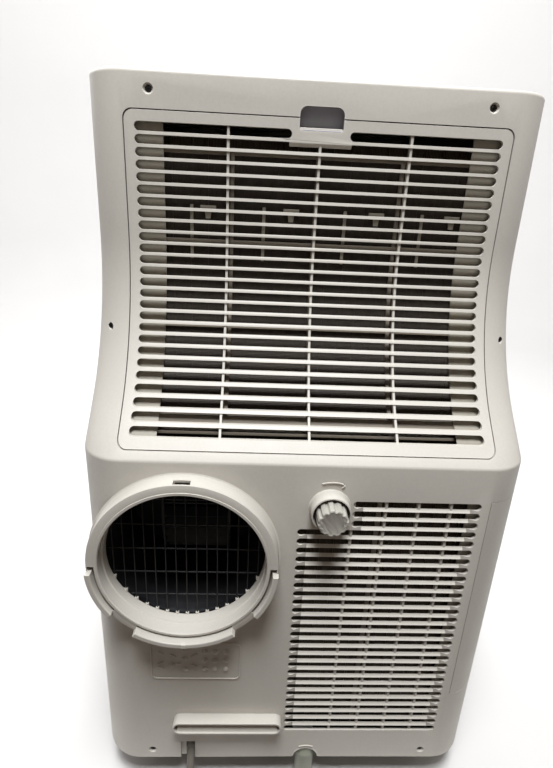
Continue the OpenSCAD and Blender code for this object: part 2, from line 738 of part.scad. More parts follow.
module circuit_board() color("seagreen") {
    box([control_box_x[0] + 8, control_box_x[0] + 9.6], [-142, -32], [438, 580]);
    box([control_box_x[0] + 9.6, control_box_x[0] + 32], [-130, -90], [450, 490]);
    for (z = [510, 540]) rod_x(-60, z, 9, control_box_x[0] + 9.6, control_box_x[0] + 36);
    box([control_box_x[0] + 2, control_box_x[0] + 8], [-120, -110], [500, 510]);
}

module run_capacitor() color("silver") {
    rod_z(-90, -110, 22, pan_z + pan_floor, 124);
    for (x = [-98, -82]) box([x - 3, x + 3], [-111, -109], [124, 132]);
}

// ---- Air outlet
louver_span = 142.5;
louver_z = [612.5, 632, 651.5, 671];
louver_y = front_y + 12;
louver_pin = 2;
module outlet_frame() color("gainsboro") difference() {
    along_y(front_y, front_y + 30)
        rounded_rect(-outlet_half + gap, outlet_half - gap, outlet_low + gap, outlet_high - gap, 7.5);
    along_y(front_y - 1, front_y + 31)
        rounded_rect(-outlet_half + 6, outlet_half - 6, outlet_low + 2.5, outlet_high - 2.5, 5);
    for (z = louver_z) rod_x(louver_y, z, louver_pin + 0.05, -outlet_half + 2, outlet_half - 2);
}

module louver(i) color("antiquewhite") {
    z = louver_z[i];
    translate([-louver_span, louver_y, z]) rotate([90, 0, 90]) linear_extrude(2 * louver_span)
        union() {
            translate([-8, -1]) square([16, 2]);
            circle(r = louver_pin + 0.6);
            for (s = [-8, 8]) translate([s, 0]) circle(r = 1);
        }
    for (s = [-1, 1])
        rod_x(louver_y, z, louver_pin, min(s * louver_span, s * (outlet_half - 3)),
            max(s * louver_span, s * (outlet_half - 3)));
}

// ---- Mains cord, from its gland to the coil behind the unit
cord_route = [[108, 176, 50], [108, 182, 44], [108, 188, 38], [108, 194, 32], [108, 200, 26],
    [108, 206, 20], [108, 212, 14], [108, 219, 8.5], [108, 227, 5], [108, 236, 4], [108, 250, 4],
    [108, 264, 4], [108, 278, 4], [108, 290, 4]];
cord_sides = 10;
coil_at = [54, 290]; // centre of the coil on the floor
coil_mid = 46; // radius at the middle of its turns
coil_rows = 3;
coil_layers = 2;
coil_in = coil_mid - coil_rows * cord_r;
coil_out = coil_mid + coil_rows * cord_r;
coil_h = 2 * cord_r * coil_layers;
plug_y = 262; // where the cord meets the plug

function unit(v) = v / norm(v);
function heading(i) = unit(cord_route[min(i + 1, len(cord_route) - 1)] - cord_route[max(i - 1, 0)]);
function cord_ring(i) = let (t = heading(i), side = [1, 0, 0], up = cross(t, side))
    [for (k = [0:cord_sides - 1]) let (a = 360 * k / cord_sides)
        cord_route[i] + cord_r * (cos(a) * side + sin(a) * up)];

module mains_cord() color("gray") {
    rings = len(cord_route);
    points = [for (i = [0:rings - 1]) each cord_ring(i)];
    sides = [for (i = [0:rings - 2]) for (k = [0:cord_sides - 1]) let (n = (k + 1) % cord_sides)
        [i * cord_sides + k, i * cord_sides + n, (i + 1) * cord_sides + n, (i + 1) * cord_sides + k]];
    first = [[for (k = [cord_sides - 1:-1:0]) k]];
    last = [[for (k = [0:cord_sides - 1]) (rings - 1) * cord_sides + k]];
    polyhedron(points, concat(first, last, sides));
}

module cord_coil() color("gray") {
    translate([coil_at[0], coil_at[1], 0]) rotate_extrude() translate([coil_in, 0]) square([coil_out - coil_in, coil_h]);
    rod_y(coil_at[0] - coil_out + cord_r, coil_h - cord_r, cord_r, plug_y, coil_at[1]);
}

module cord_tie() color("black") difference() {
    box([coil_at[0] - 3, coil_at[0] + 3], [coil_at[1] + coil_in - 1.6, coil_at[1] + coil_out + 1.6], [0, coil_h + 1.6]);
    translate([coil_at[0], coil_at[1], -1]) difference() {
        cylinder(r = coil_out + 0.2, h = coil_h + 1.2);
        translate([0, 0, -1]) cylinder(r = coil_in - 0.2, h = coil_h + 4);
    }
}

plug_h = coil_h - cord_r;
module mains_plug() color("dimgray") {
    x = coil_at[0] - coil_out + cord_r;
    translate([x, plug_y, plug_h]) rotate([90, 0, 0]) cylinder(r1 = 4.6, r2 = 6.5, h = 20);
    translate([0, 0, plug_h - 11]) linear_extrude(22) rounded_rect(x - 16, x + 16, plug_y - 46, plug_y - 20, 5);
    for (s = [-1, 1]) rod_y(x + 9.5 * s, plug_h, 2.2, plug_y - 64, plug_y - 46);
}

module cord_gland() color("dimgray") {
    translate(cord_route[0]) rotate([45, 0, 0]) cylinder(r1 = 5, r2 = 7, h = 26);
    box([notch_x[0] - 3, notch_x[1] + 3], [rear_y - 36, rear_y - 18], [pan_z + 0.4, 76]);
}

place = [[-caster_x, caster_front_y], [caster_x, caster_front_y], [-caster_x, caster_rear_y], [caster_x, caster_rear_y]];

base_pan();
rear_shell();
front_shell();
top_panel();
control_panel();
display_window();
button(0);  // button_power
button(1);  // button_mode
button(2);  // button_fan
button(3);  // button_timer
filter_cover();
filter_frame();
filter_mesh();
side_cover();
side_filter();
exhaust_collar();
duct_guard();
exhaust_housing();
exhaust_wheel();
exhaust_motor();
drain_spigot();
drain_cap();
drain_pipe();
accessory_slot();
mid_deck();
evaporator();
condenser();
compressor();
compressor_grommets();
refrigerant_pipes();
blower_housing();
blower_wheel();
blower_motor();
control_box();
circuit_board();
run_capacitor();
side_handles();
outlet_frame();
louver(0);  // louver_1
louver(1);  // louver_2
louver(2);  // louver_3
louver(3);  // louver_4
shell_screws();
caster_fork(place[0]);  // caster_fork_front_left
caster_fork(place[1]);  // caster_fork_front_right
caster_fork(place[2]);  // caster_fork_rear_left
caster_fork(place[3]);  // caster_fork_rear_right
caster_axle(place[0]);  // caster_axle_front_left
caster_axle(place[1]);  // caster_axle_front_right
caster_axle(place[2]);  // caster_axle_rear_left
caster_axle(place[3]);  // caster_axle_rear_right
caster_wheel(place[0]);  // caster_wheel_front_left
caster_wheel(place[1]);  // caster_wheel_front_right
caster_wheel(place[2]);  // caster_wheel_rear_left
caster_wheel(place[3]);  // caster_wheel_rear_right
cord_gland();
mains_cord();
cord_coil();
cord_tie();
mains_plug();
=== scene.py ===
import json
import math

import bmesh
import bpy
from mathutils import Matrix, Vector


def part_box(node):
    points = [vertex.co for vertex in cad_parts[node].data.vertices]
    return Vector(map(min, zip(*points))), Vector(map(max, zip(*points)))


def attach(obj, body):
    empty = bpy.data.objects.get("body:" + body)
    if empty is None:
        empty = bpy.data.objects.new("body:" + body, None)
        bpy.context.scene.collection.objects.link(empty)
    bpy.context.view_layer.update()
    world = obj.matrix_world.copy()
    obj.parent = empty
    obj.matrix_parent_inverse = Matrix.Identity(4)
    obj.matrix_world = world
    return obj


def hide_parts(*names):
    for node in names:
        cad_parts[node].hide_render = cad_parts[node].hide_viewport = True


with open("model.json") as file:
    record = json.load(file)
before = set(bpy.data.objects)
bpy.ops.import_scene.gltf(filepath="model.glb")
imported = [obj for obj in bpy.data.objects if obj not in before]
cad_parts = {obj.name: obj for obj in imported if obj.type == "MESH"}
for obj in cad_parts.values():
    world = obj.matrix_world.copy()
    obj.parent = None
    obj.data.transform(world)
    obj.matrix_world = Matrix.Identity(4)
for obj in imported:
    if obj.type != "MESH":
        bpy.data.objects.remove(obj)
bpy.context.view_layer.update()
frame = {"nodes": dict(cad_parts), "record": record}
nodes = frame["nodes"]
scene = bpy.context.scene

# Everything is in metres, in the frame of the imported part: +Z up, the back of the unit towards +Y

casing = {
    "halfWidth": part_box("rear_shell")[1].x,
    "rearY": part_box("rear_shell")[1].y,
    "frontY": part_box("front_shell")[0].y,
    "bottom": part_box("rear_shell")[0].z,
    "top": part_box("rear_shell")[1].z,
    "cornerRadius": 0.041,
    "wall": 0.0026,
    "setback": 0.092,
    "shoulder": 0.410,
    "shoulderRound": 0.005,
    "bendRadius": 0.219,
    "bendAngle": math.radians(44),
    "topRound": 0.0035,
    "splitY": 0.0195,
    "seam": 0.0005,
}
rearY = casing["rearY"]
upperY = rearY - casing["setback"]
frontY = casing["frontY"]

# the rear profile: a slope above the shoulder, then a bend, then upright
bendOut = casing["bendRadius"] * (1 - math.cos(casing["bendAngle"]))
slopeHeight = (casing["setback"] - bendOut) / math.tan(casing["bendAngle"])
bendTop = casing["shoulder"] + slopeHeight + casing["bendRadius"] * math.sin(casing["bendAngle"])


def backLean(z):
    if z <= casing["shoulder"] or z >= bendTop:
        return 0.0
    if z <= casing["shoulder"] + slopeHeight:
        return casing["bendAngle"]
    return math.asin((bendTop - z) / casing["bendRadius"])


def backY(z):
    r = casing["shoulderRound"]
    below = r * math.tan(casing["bendAngle"] / 2)
    if z >= bendTop:
        return upperY
    if z <= casing["shoulder"] - below:
        return rearY
    if z <= casing["shoulder"] + below * math.cos(casing["bendAngle"]):
        rise = z - (casing["shoulder"] - below)
        return rearY - r + math.sqrt(r * r - rise * rise)
    if z <= casing["shoulder"] + slopeHeight:
        return rearY - (z - casing["shoulder"]) * math.tan(casing["bendAngle"])
    return upperY + casing["bendRadius"] - math.sqrt(casing["bendRadius"] ** 2 - (bendTop - z) ** 2)


# plates are drawn flat as (along, up), cut, given a depth, and then wrapped on the casing

def wrapRear(p):
    # along: distance round the outside of the plan from the middle of the back, up: height, depth: inwards
    along, depth, up = p
    r = casing["cornerRadius"]
    flat = casing["halfWidth"] - r
    turn = r * math.pi / 2
    roundUp = casing["top"] - casing["topRound"]
    z = up
    if up > roundUp:
        a = min((up - roundUp) / casing["topRound"], math.pi / 2)
        depth = depth + (casing["topRound"] - depth) * (1 - math.cos(a))
        z = roundUp + casing["topRound"] * math.sin(a)
    lean = backLean(z)
    rise = (z - casing["shoulder"]) / slopeHeight
    shift = depth / math.cos(lean) - depth if lean else 0.0
    back = backY(z) - shift * min(1.0, max(0.0, rise))
    side = math.copysign(1.0, along)
    s = abs(along)
    if s <= flat:
        return Vector((along, back - depth, z))
    if s <= flat + turn:
        a = (s - flat) / r
        return Vector((side * (flat + (r - depth) * math.sin(a)), back - r + (r - depth) * math.cos(a), z))
    reach = (s - flat - turn) / (rearY - r - casing["splitY"])
    y = (back - r) + (casing["splitY"] - (back - r)) * reach
    return Vector((side * (casing["halfWidth"] - depth), y, z))


def wrapFront(p):
    # along: distance round the plan from the middle of the front
    along, depth, up = p
    r = casing["cornerRadius"]
    flat = casing["halfWidth"] - r
    turn = r * math.pi / 2
    z = up
    roundUp = casing["top"] - casing["topRound"]
    if up > roundUp:
        a = min((up - roundUp) / casing["topRound"], math.pi / 2)
        depth = depth + (casing["topRound"] - depth) * (1 - math.cos(a))
        z = roundUp + casing["topRound"] * math.sin(a)
    side = math.copysign(1.0, along)
    s = abs(along)
    if s <= flat:
        return Vector((along, frontY + depth, z))
    if s <= flat + turn:
        a = (s - flat) / r
        return Vector((side * (flat + (r - depth) * math.sin(a)), frontY + r - (r - depth) * math.cos(a), z))
    return Vector((side * (casing["halfWidth"] - depth), frontY + r + (s - flat - turn), z))


def joinInto(bm, part):
    # moves one working mesh into another
    mesh = bpy.data.meshes.new("part")
    part.to_mesh(mesh)
    part.free()
    bm.from_mesh(mesh)
    bpy.data.meshes.remove(mesh)


def vertsOf(result):
    return [v for v in result["geom"] if isinstance(v, bmesh.types.BMVert)]


def addLoop(bm, points):
    corners = [bm.verts.new((x, 0, z)) for x, z in points]
    for i, v in enumerate(corners):
        bm.edges.new((v, corners[(i + 1) % len(corners)]))


def roundedLoop(x0, x1, z0, z1, r, steps=6):
    points = []
    turns = ((x1 - r, z1 - r, 0), (x0 + r, z1 - r, 90), (x0 + r, z0 + r, 180), (x1 - r, z0 + r, 270))
    for cx, cz, start in turns:
        for i in range(steps + 1):
            a = math.radians(start + 90 * i / steps)
            points.append((cx + r * math.cos(a), cz + r * math.sin(a)))
    return points


def roundLoop(x, z, r, steps=48):
    turns = [math.tau * i / steps for i in range(steps)]
    return [(x + r * math.cos(a), z + r * math.sin(a)) for a in turns]


def slotLoop(x0, x1, z, height, steps=5):
    # a long slot with round ends
    r = height / 2
    points = []
    for cx, start in ((x1 - r, -90), (x0 + r, 90)):
        for i in range(2 * steps + 1):
            a = math.radians(start + 180 * i / (2 * steps))
            points.append((cx + r * math.cos(a), z + r * math.sin(a)))
    return points


fallRun = 0.006  # a bar's lower edge starts to fall back this far in from its slot's round end
near = 2e-5  # two heights or places closer than this are the same one


def plate(loops, depths, rows=(), columns=(), wrap=None, falls=()):
    # loops: the outline and its holes, flat. Rows and columns are the lines along which the plate may bend.
    # falls: (x0, x1, z, depth) moves that stretch of the front edge inwards.
    bm = bmesh.new()
    for loop in loops:
        addLoop(bm, loop)
    bmesh.ops.triangle_fill(bm, use_beauty=True, use_dissolve=False, edges=bm.edges[:], normal=(0, 1, 0))
    for z in rows:
        bmesh.ops.bisect_plane(bm, geom=bm.verts[:] + bm.edges[:] + bm.faces[:], dist=1e-6,
                               plane_co=(0, 0, z), plane_no=(0, 0, 1))
    for x in columns:
        bmesh.ops.bisect_plane(bm, geom=bm.verts[:] + bm.edges[:] + bm.faces[:], dist=1e-6,
                               plane_co=(x, 0, 0), plane_no=(1, 0, 0))
    loose = [e for e in bm.edges if len(e.link_faces) == 2 and not onGrid(e, rows, columns)]
    bmesh.ops.dissolve_limit(bm, angle_limit=0.001, verts=bm.verts[:], edges=loose)
    for v in bm.verts:
        v.co.y = depths[0]
    grown = bmesh.ops.extrude_face_region(bm, geom=bm.faces[:], use_keep_orig=True)
    for v in vertsOf(grown):
        v.co.y = depths[1]
    for x0, x1, z, depth in falls:
        for v in bm.verts:
            inFront = abs(v.co.y - depths[0]) < near / 20
            if inFront and abs(v.co.z - z) < near and x0 - near < v.co.x < x1 + near:
                v.co.y = depths[0] + depth
    if wrap:
        for v in bm.verts:
            v.co = wrap(v.co)
    bmesh.ops.recalc_face_normals(bm, faces=bm.faces[:])
    return bm


def onGrid(edge, rows, columns):
    a, b = edge.verts[0].co, edge.verts[1].co
    if abs(a.z - b.z) < 1e-6 and any(abs(a.z - z) < 1e-6 for z in rows):
        return True
    return abs(a.x - b.x) < 1e-6 and any(abs(a.x - x) < 1e-6 for x in columns)


def finishPiece(name, bm, material, body, replaced=(), bevel=0.0004, segments=2, angle=32):
    bmesh.ops.remove_doubles(bm, verts=bm.verts[:], dist=1e-6)
    bmesh.ops.recalc_face_normals(bm, faces=bm.faces[:])
    mesh = bpy.data.meshes.new(name)
    bm.to_mesh(mesh)
    bm.free()
    piece = bpy.data.objects.new(name, mesh)
    scene.collection.objects.link(piece)
    mesh.materials.append(material)
    for f in mesh.polygons:
        f.use_smooth = True
    if bevel:
        edge = piece.modifiers.new("edges", "BEVEL")
        edge.width = bevel
        edge.segments = segments
        edge.limit_method = "ANGLE"
        edge.angle_limit = math.radians(angle)
        edge.harden_normals = True
        edge.miter_outer = "MITER_ARC"
    else:
        mesh.set_sharp_from_angle(angle=math.radians(angle))
    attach(piece, body)
    if replaced:
        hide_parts(*replaced)
    return piece


def bevelledCopy(node, material, body, bevel=0.0005, segments=2, angle=34):
    # a CAD piece with its edges softened
    bm = bmesh.new()
    bm.from_mesh(nodes[node].data)
    bmesh.ops.remove_doubles(bm, verts=bm.verts[:], dist=2e-6)
    bmesh.ops.dissolve_limit(bm, angle_limit=math.radians(0.6), verts=bm.verts[:], edges=bm.edges[:])
    return finishPiece(node + "_finish", bm, material, body, (node,), bevel, segments, angle)


# materials

class Value:
    # a node socket; arithmetic on it adds Math nodes
    def __init__(self, maker, socket):
        self.maker = maker
        self.socket = socket

    def join(self, operation, a, b):
        return self.maker.node("ShaderNodeMath", {"operation": operation}, {0: a, 1: b})

    def __add__(self, other):
        return self.join("ADD", self, other)

    __radd__ = __add__

    def __mul__(self, other):
        return self.join("MULTIPLY", self, other)

    __rmul__ = __mul__

    def __sub__(self, other):
        return self.join("SUBTRACT", self, other)

    def __rsub__(self, other):
        return self.join("SUBTRACT", other, self)

    def __gt__(self, other):
        return self.join("GREATER_THAN", self, other)


class Finish:
    # builds one material
    def __init__(self, name):
        self.material = bpy.data.materials.new(name)
        self.material.use_nodes = True
        self.tree = self.material.node_tree
        self.shader = self.tree.nodes["Principled BSDF"]
        self.place = self.node("ShaderNodeTexCoord", {}, {}, "Object")

    def feed(self, socket, value):
        if isinstance(value, Value):
            self.tree.links.new(value.socket, socket)
        elif socket.type == "RGBA" and len(value) == 3:
            socket.default_value = (*value, 1.0)
        else:
            socket.default_value = value

    def node(self, kind, settings, inputs, output=0):
        made = self.tree.nodes.new(kind)
        for key, value in settings.items():
            if key == "stops":
                ramp = made.color_ramp
                while len(ramp.elements) < len(value):
                    ramp.elements.new(0.5)
                for element, (at, level) in zip(ramp.elements, value):
                    element.position = at
                    element.color = (level, level, level, 1.0)
            else:
                setattr(made, key, value)
        for key, value in inputs.items():
            self.feed(made.inputs[key], value)
        return Value(self, made.outputs[output])

    def noise(self, scale, detail=3.0, rough=0.55, place=None):
        return self.node("ShaderNodeTexNoise", {}, {"Vector": place or self.place, "Scale": scale,
                                                    "Detail": detail, "Roughness": rough})

    def stretched(self, x, y, z):
        return self.node("ShaderNodeMapping", {}, {"Vector": self.place, "Scale": (x, y, z)})

    def ramp(self, value, *stops):
        return self.node("ShaderNodeValToRGB", {"stops": stops}, {"Fac": value})

    def mix(self, factor, a, b):
        made = self.tree.nodes.new("ShaderNodeMix")
        made.data_type = "RGBA"
        self.feed(made.inputs["Factor"], factor)
        for socket, value in zip((made.inputs[6], made.inputs[7]), (a, b)):
            self.feed(socket, value)
        return Value(self, made.outputs[2])

    def bump(self, height, strength, distance=0.001):
        return self.node("ShaderNodeBump", {}, {"Height": height, "Strength": strength, "Distance": distance})

    def edges(self, distance):
        # near one on an outside edge, near zero on a flat
        inside = self.node("ShaderNodeAmbientOcclusion", {"samples": 4, "inside": True},
                           {"Distance": distance}, "AO")
        return self.ramp(inside, (0.35, 1.0), (0.75, 0.0))

    def shade_in_hollows(self, distance):
        # near one deep in a hollow or crease, where shade falls; the mask for painted shade
        around = self.node("ShaderNodeAmbientOcclusion", {"samples": 4}, {"Distance": distance}, "AO")
        return self.ramp(around, (0.2, 1.0), (0.9, 0.0))

    def set(self, **values):
        names = {"color": "Base Color", "roughness": "Roughness", "metallic": "Metallic", "normal": "Normal",
                 "alpha": "Alpha"}
        for key, value in values.items():
            self.feed(self.shader.inputs[names[key]], value)
        return self.material


def tint(color, by):
    return tuple(min(1.0, c * by) for c in color)


def mouldedPlastic(name, color, rough=0.45, grain=0.25, hollow_shade=0.0, wear=0.0):
    f = Finish(name)
    cloud = f.ramp(f.noise(6.0, 4.0), (0.3, 0.0), (0.7, 1.0))
    speck = f.ramp(f.noise(420.0, 2.0), (0.35, 0.0), (0.65, 1.0))
    shade = f.mix(cloud, tint(color, 0.95), tint(color, 1.03))
    shade = f.mix(speck * 0.25, shade, tint(color, 1.12))
    # painted shade: the colour darkens in hollows and creases, found by ambient occlusion
    if hollow_shade:
        shade = f.mix(f.shade_in_hollows(0.012) * hollow_shade, shade, tint(color, 0.45))
    if wear:
        shade = f.mix(f.edges(0.0012) * wear, shade, tint(color, 1.25))
    smear = f.noise(28.0, 3.0)
    return f.set(color=shade, roughness=(smear - 0.5) * 0.22 + speck * 0.05 + rough,
                 normal=f.bump(f.noise(1500.0, 2.0), grain, 0.0002))


finishes = {
    # slot: colour, roughness
    "casing": ((0.625, 0.59, 0.53), 0.42),
    # inner_plastic: darkened well below the plastic's own colour, painted shade for parts inside the casing
    "inner_plastic": ((0.24, 0.205, 0.16), 0.55),
    # duct: near black, painted shade for the inside of the exhaust duct
    "duct": ((0.010, 0.010, 0.012), 0.5),
    # pocket: darker blue-grey than the casing, painted shade for the finger recess
    "pocket": ((0.36, 0.355, 0.40), 0.5),
    # liner: the inner plastic set lighter than inner_plastic but still darkened, as painted shade, for strips
    # seen through the slots
    "liner": ((0.40, 0.365, 0.30), 0.5),
    "wire": ((0.006, 0.006, 0.007), 0.45),
    "pan": ((0.28, 0.27, 0.25), 0.55),
    "console": ((0.012, 0.012, 0.014), 0.16),
    "display": ((0.008, 0.009, 0.011), 0.06),
    "button": ((0.50, 0.49, 0.46), 0.4),
    "fan": ((0.045, 0.05, 0.055), 0.5),
    "cap": ((0.46, 0.44, 0.39), 0.42),
    "spout": ((0.33, 0.34, 0.27), 0.38),
    "board": ((0.02, 0.10, 0.04), 0.35),
    "caster": ((0.03, 0.03, 0.032), 0.5),
}


def metal(name, color, rough, brush):
    f = Finish(name)
    lines = f.noise(90.0, 3.0, place=f.stretched(*brush))
    stain = f.ramp(f.noise(14.0, 4.0), (0.35, 0.0), (0.75, 1.0))
    return f.set(color=f.mix(stain, color, tint(color, 0.78)), metallic=1.0,
                 roughness=(lines - 0.5) * 0.3 + stain * 0.12 + rough, normal=f.bump(lines, 0.15, 0.0002))


def rubberLike(name, color, rough=0.6, grain=0.3, scale=700.0):
    f = Finish(name)
    cloud = f.noise(22.0, 4.0)
    return f.set(color=f.mix(f.ramp(cloud, (0.35, 0.0), (0.7, 1.0)), tint(color, 0.8), tint(color, 1.25)),
                 roughness=(cloud - 0.5) * 0.25 + rough, normal=f.bump(f.noise(scale, 2.0), grain, 0.0003))


def finMetal(name, color):
    # thin fins set on edge, a few to the millimetre; the dark bands are painted shade in the gaps between
    # fins
    f = Finish(name)
    fins = f.node("ShaderNodeTexWave", {"bands_direction": "X"},
                  {"Vector": f.place, "Scale": 230.0, "Distortion": 0.4})
    dirt = f.ramp(f.noise(30.0, 5.0), (0.4, 0.0), (0.75, 1.0))
    shade = f.mix(fins, tint(color, 0.35), color)
    return f.set(color=f.mix(dirt * 0.6, shade, (0.16, 0.14, 0.11)), metallic=1.0 - dirt * 0.5,
                 roughness=dirt * 0.3 + 0.35, normal=f.bump(fins, 0.6, 0.0006))


def filterNet(name, color):
    # woven net that shows what is behind it
    f = Finish(name)
    across = f.node("ShaderNodeTexWave", {"bands_direction": "X", "wave_profile": "SIN"},
                    {"Vector": f.place, "Scale": 260.0})
    up = f.node("ShaderNodeTexWave", {"bands_direction": "Z", "wave_profile": "SIN"},
                {"Vector": f.place, "Scale": 260.0})
    thread = f.node("ShaderNodeMath", {"operation": "MAXIMUM"}, {0: across, 1: up})
    mask = thread > 0.66
    lint = f.noise(40.0, 4.0)
    return f.set(color=f.mix(lint, color, tint(color, 1.8)), alpha=mask, roughness=lint * 0.2 + 0.55,
                 normal=f.bump(thread, 0.4, 0.0003))


def makeMaterials():
    made = {}
    for slot, (color, rough) in finishes.items():
        outside = slot in ("casing", "cap", "button")
        # first number: painted shade darkening hollows; second: lighter worn edges
        hollow_shade, wear = (0.5, 0.35) if outside else (0.3, 0.0)
        made[slot] = mouldedPlastic(slot, color, rough, hollow_shade=hollow_shade, wear=wear)
    made["zinc"] = metal("zinc", (0.50, 0.51, 0.52), 0.36, (1, 1, 12))
    made["copper"] = metal("copper", (0.55, 0.26, 0.15), 0.32, (1, 1, 8))
    made["screw"] = metal("screw", (0.10, 0.10, 0.10), 0.34, (6, 1, 1))
    made["enamel"] = mouldedPlastic("enamel", (0.012, 0.012, 0.012), 0.25, grain=0.1)
    # the fins' dark brown colour is painted shade for fins deep inside the lower grille
    made["fins"] = finMetal("fins", (0.15, 0.12, 0.09))
    made["mesh"] = filterNet("mesh", (0.040, 0.031, 0.023))
    made["rubber"] = rubberLike("rubber", (0.02, 0.02, 0.02), 0.65)
    made["wheel"] = rubberLike("wheel", (0.03, 0.03, 0.03), 0.55)
    made["cord"] = rubberLike("cord", (0.17, 0.155, 0.13), 0.36, 0.12, 1200.0)
    made["plug"] = rubberLike("plug", (0.20, 0.19, 0.17), 0.42, 0.2)
    return made


materials = makeMaterials()
slotOf = {s["node"]: s["material_slot"] for s in frame["record"]["subparts"]}
bodyOf = {n: body for body, members in frame["record"]["behaviour"]["bodies"].items() for n in members}
for name, cad in nodes.items():
    cad.data.materials.clear()
    cad.data.materials.append(materials[slotOf[name]])
    cad.data.set_sharp_from_angle(angle=math.radians(30))
print("materials made")

# camera, floor and lights

cameraView = {
    "place": (0.0505, 0.5646, 0.6251),
    "yaw": math.radians(2.663),
    "pitch": math.radians(19.975),
    "roll": math.radians(2.756),
    "lens": 23.44,
}


def addCamera(c):
    ahead = Vector((-math.sin(c["yaw"]) * math.cos(c["pitch"]), -math.cos(c["yaw"]) * math.cos(c["pitch"]),
                    -math.sin(c["pitch"])))
    right = ahead.cross(Vector((0, 0, 1))).normalized()
    up = right.cross(ahead)
    across = math.cos(c["roll"]) * right + math.sin(c["roll"]) * up
    top = math.cos(c["roll"]) * up - math.sin(c["roll"]) * right
    data = bpy.data.cameras.new("camera")
    data.lens = c["lens"]
    data.sensor_width = 36.0
    data.clip_start = 0.02
    camera = bpy.data.objects.new("camera", data)
    scene.collection.objects.link(camera)
    camera.matrix_world = Matrix.Translation(c["place"]) @ Matrix((across, top, -ahead)).transposed().to_4x4()
    scene.camera = camera


addCamera(cameraView)

lights = {
    # name: place, size, watts, aimed at
    "overhead": ((0.05, 0.80, 2.4), 0.7, 62.0, (0, 0.1, 0.4)),
    "backdrop": ((0.0, -0.9, 2.7), 2.0, 80.0, (0, -2.9, 0.6)),
    "front": ((1.4, -1.6, 1.6), 1.2, 8.0, (0, 0, 0.4)),
    "behind": ((0.0, 2.4, 2.2), 2.0, 80.0, (0, 4.0, 1.0)),
}


stage = {
    # a floor that curves up into a wall all round; the half behind the machine sends no light back to it
    "radius": 3.6,
    "bend": 1.2,
    "wall": 4.5,
    "centre": 0.4,
    "split": 0.25,
    "segments": 96,
    "bendSteps": 15,
    "dark": (0.71, 0.695, 0.68),
    "light": (0.75, 0.735, 0.72),
}
lampColor = (0.95, 0.975, 1.0)
roomLight = ((1.0, 0.84, 0.72, 1.0), 0.11)  # colour, strength


def addStage():
    f = Finish("floor")
    cloud = f.noise(3.0, 4.0)
    pale = f.set(color=f.mix(cloud, stage["dark"], stage["light"]), roughness=cloud * 0.1 + 0.6)
    turns = [math.pi / 2 * i / stage["bendSteps"] for i in range(stage["bendSteps"] + 1)]
    bend = [(stage["radius"] - stage["bend"] * (1 - math.sin(a)), stage["bend"] * (1 - math.cos(a)))
            for a in turns]
    for name, keep in (("floor", -1), ("floor_behind", 1)):
        bm = bmesh.new()
        rows = [bm.verts.new((r, 0, z)) for r, z in [(0, 0)] + bend + [(stage["radius"], stage["wall"])]]
        edges = [bm.edges.new(pair) for pair in zip(rows, rows[1:])]
        bmesh.ops.spin(bm, geom=rows + edges, axis=(0, 0, 1), cent=(0, 0, 0), angle=math.tau,
                       steps=stage["segments"], use_merge=True)
        bmesh.ops.remove_doubles(bm, verts=bm.verts[:], dist=1e-5)
        bmesh.ops.translate(bm, vec=(0, stage["centre"], 0), verts=bm.verts[:])
        bmesh.ops.bisect_plane(bm, geom=bm.verts[:] + bm.edges[:] + bm.faces[:], clear_inner=True,
                               plane_co=(0, stage["split"], 0), plane_no=(0, keep, 0))
        bmesh.ops.recalc_face_normals(bm, faces=bm.faces[:])
        mesh = bpy.data.meshes.new(name)
        bm.to_mesh(mesh)
        bm.free()
        for face in mesh.polygons:
            face.use_smooth = True
        half = bpy.data.objects.new(name, mesh)
        scene.collection.objects.link(half)
        mesh.materials.append(pale)
        if keep > 0:
            half.visible_diffuse = False
            half.visible_glossy = False
    for name, (place, size, watts, aim) in lights.items():
        data = bpy.data.lights.new(name, "AREA")
        data.size = size
        data.energy = watts
        data.color = lampColor
        lamp = bpy.data.objects.new(name, data)
        scene.collection.objects.link(lamp)
        lamp.location = place
        lamp.rotation_euler = (Vector(aim) - Vector(place)).to_track_quat("-Z", "Y").to_euler()
    world = bpy.data.worlds.new("studio")
    world.use_nodes = True
    sky = world.node_tree.nodes["Background"]
    sky.inputs["Color"].default_value, sky.inputs["Strength"].default_value = roomLight
    scene.world = world
    scene.view_settings.view_transform = "Standard"


addStage()
print("camera, floor and lights placed")

# mains cord

mains = {
    "radius": 0.004,
    "route": [(0.108, 0.176, 0.050), (0.108, 0.182, 0.044), (0.108, 0.188, 0.038), (0.108, 0.194, 0.032),
              (0.108, 0.200, 0.026), (0.108, 0.206, 0.020), (0.108, 0.212, 0.014), (0.108, 0.219, 0.0085),
              (0.108, 0.227, 0.005), (0.108, 0.236, 0.004), (0.108, 0.250, 0.004), (0.108, 0.264, 0.004),
              (0.108, 0.278, 0.004), (0.108, 0.290, 0.004)],
    "coil": (0.054, 0.290),
    "outerTurn": 0.054,
    "innerTurn": 0.038,
    "turnSteps": 36,
    "plugEnd": (0.0, 0.262, 0.012),
}


def coilPoints(m):
    # two turns in along the floor, one that climbs on the inside, and two and a half out on top
    d = 2 * m["radius"]
    points = []
    for i in range(1, int(5.5 * m["turnSteps"]) + 1):
        t = i / m["turnSteps"]
        if t <= 2:
            r, z = m["outerTurn"] - d * t, m["radius"]
        elif t <= 3:
            r, z = m["innerTurn"], m["radius"] + d * math.sin((t - 2) * math.pi / 2)
        else:
            r, z = m["innerTurn"] + d * (t - 3), m["radius"] + d
        a = 2 * math.pi * t
        points.append((m["coil"][0] + r * math.cos(a), m["coil"][1] + r * math.sin(a), z))
    return points


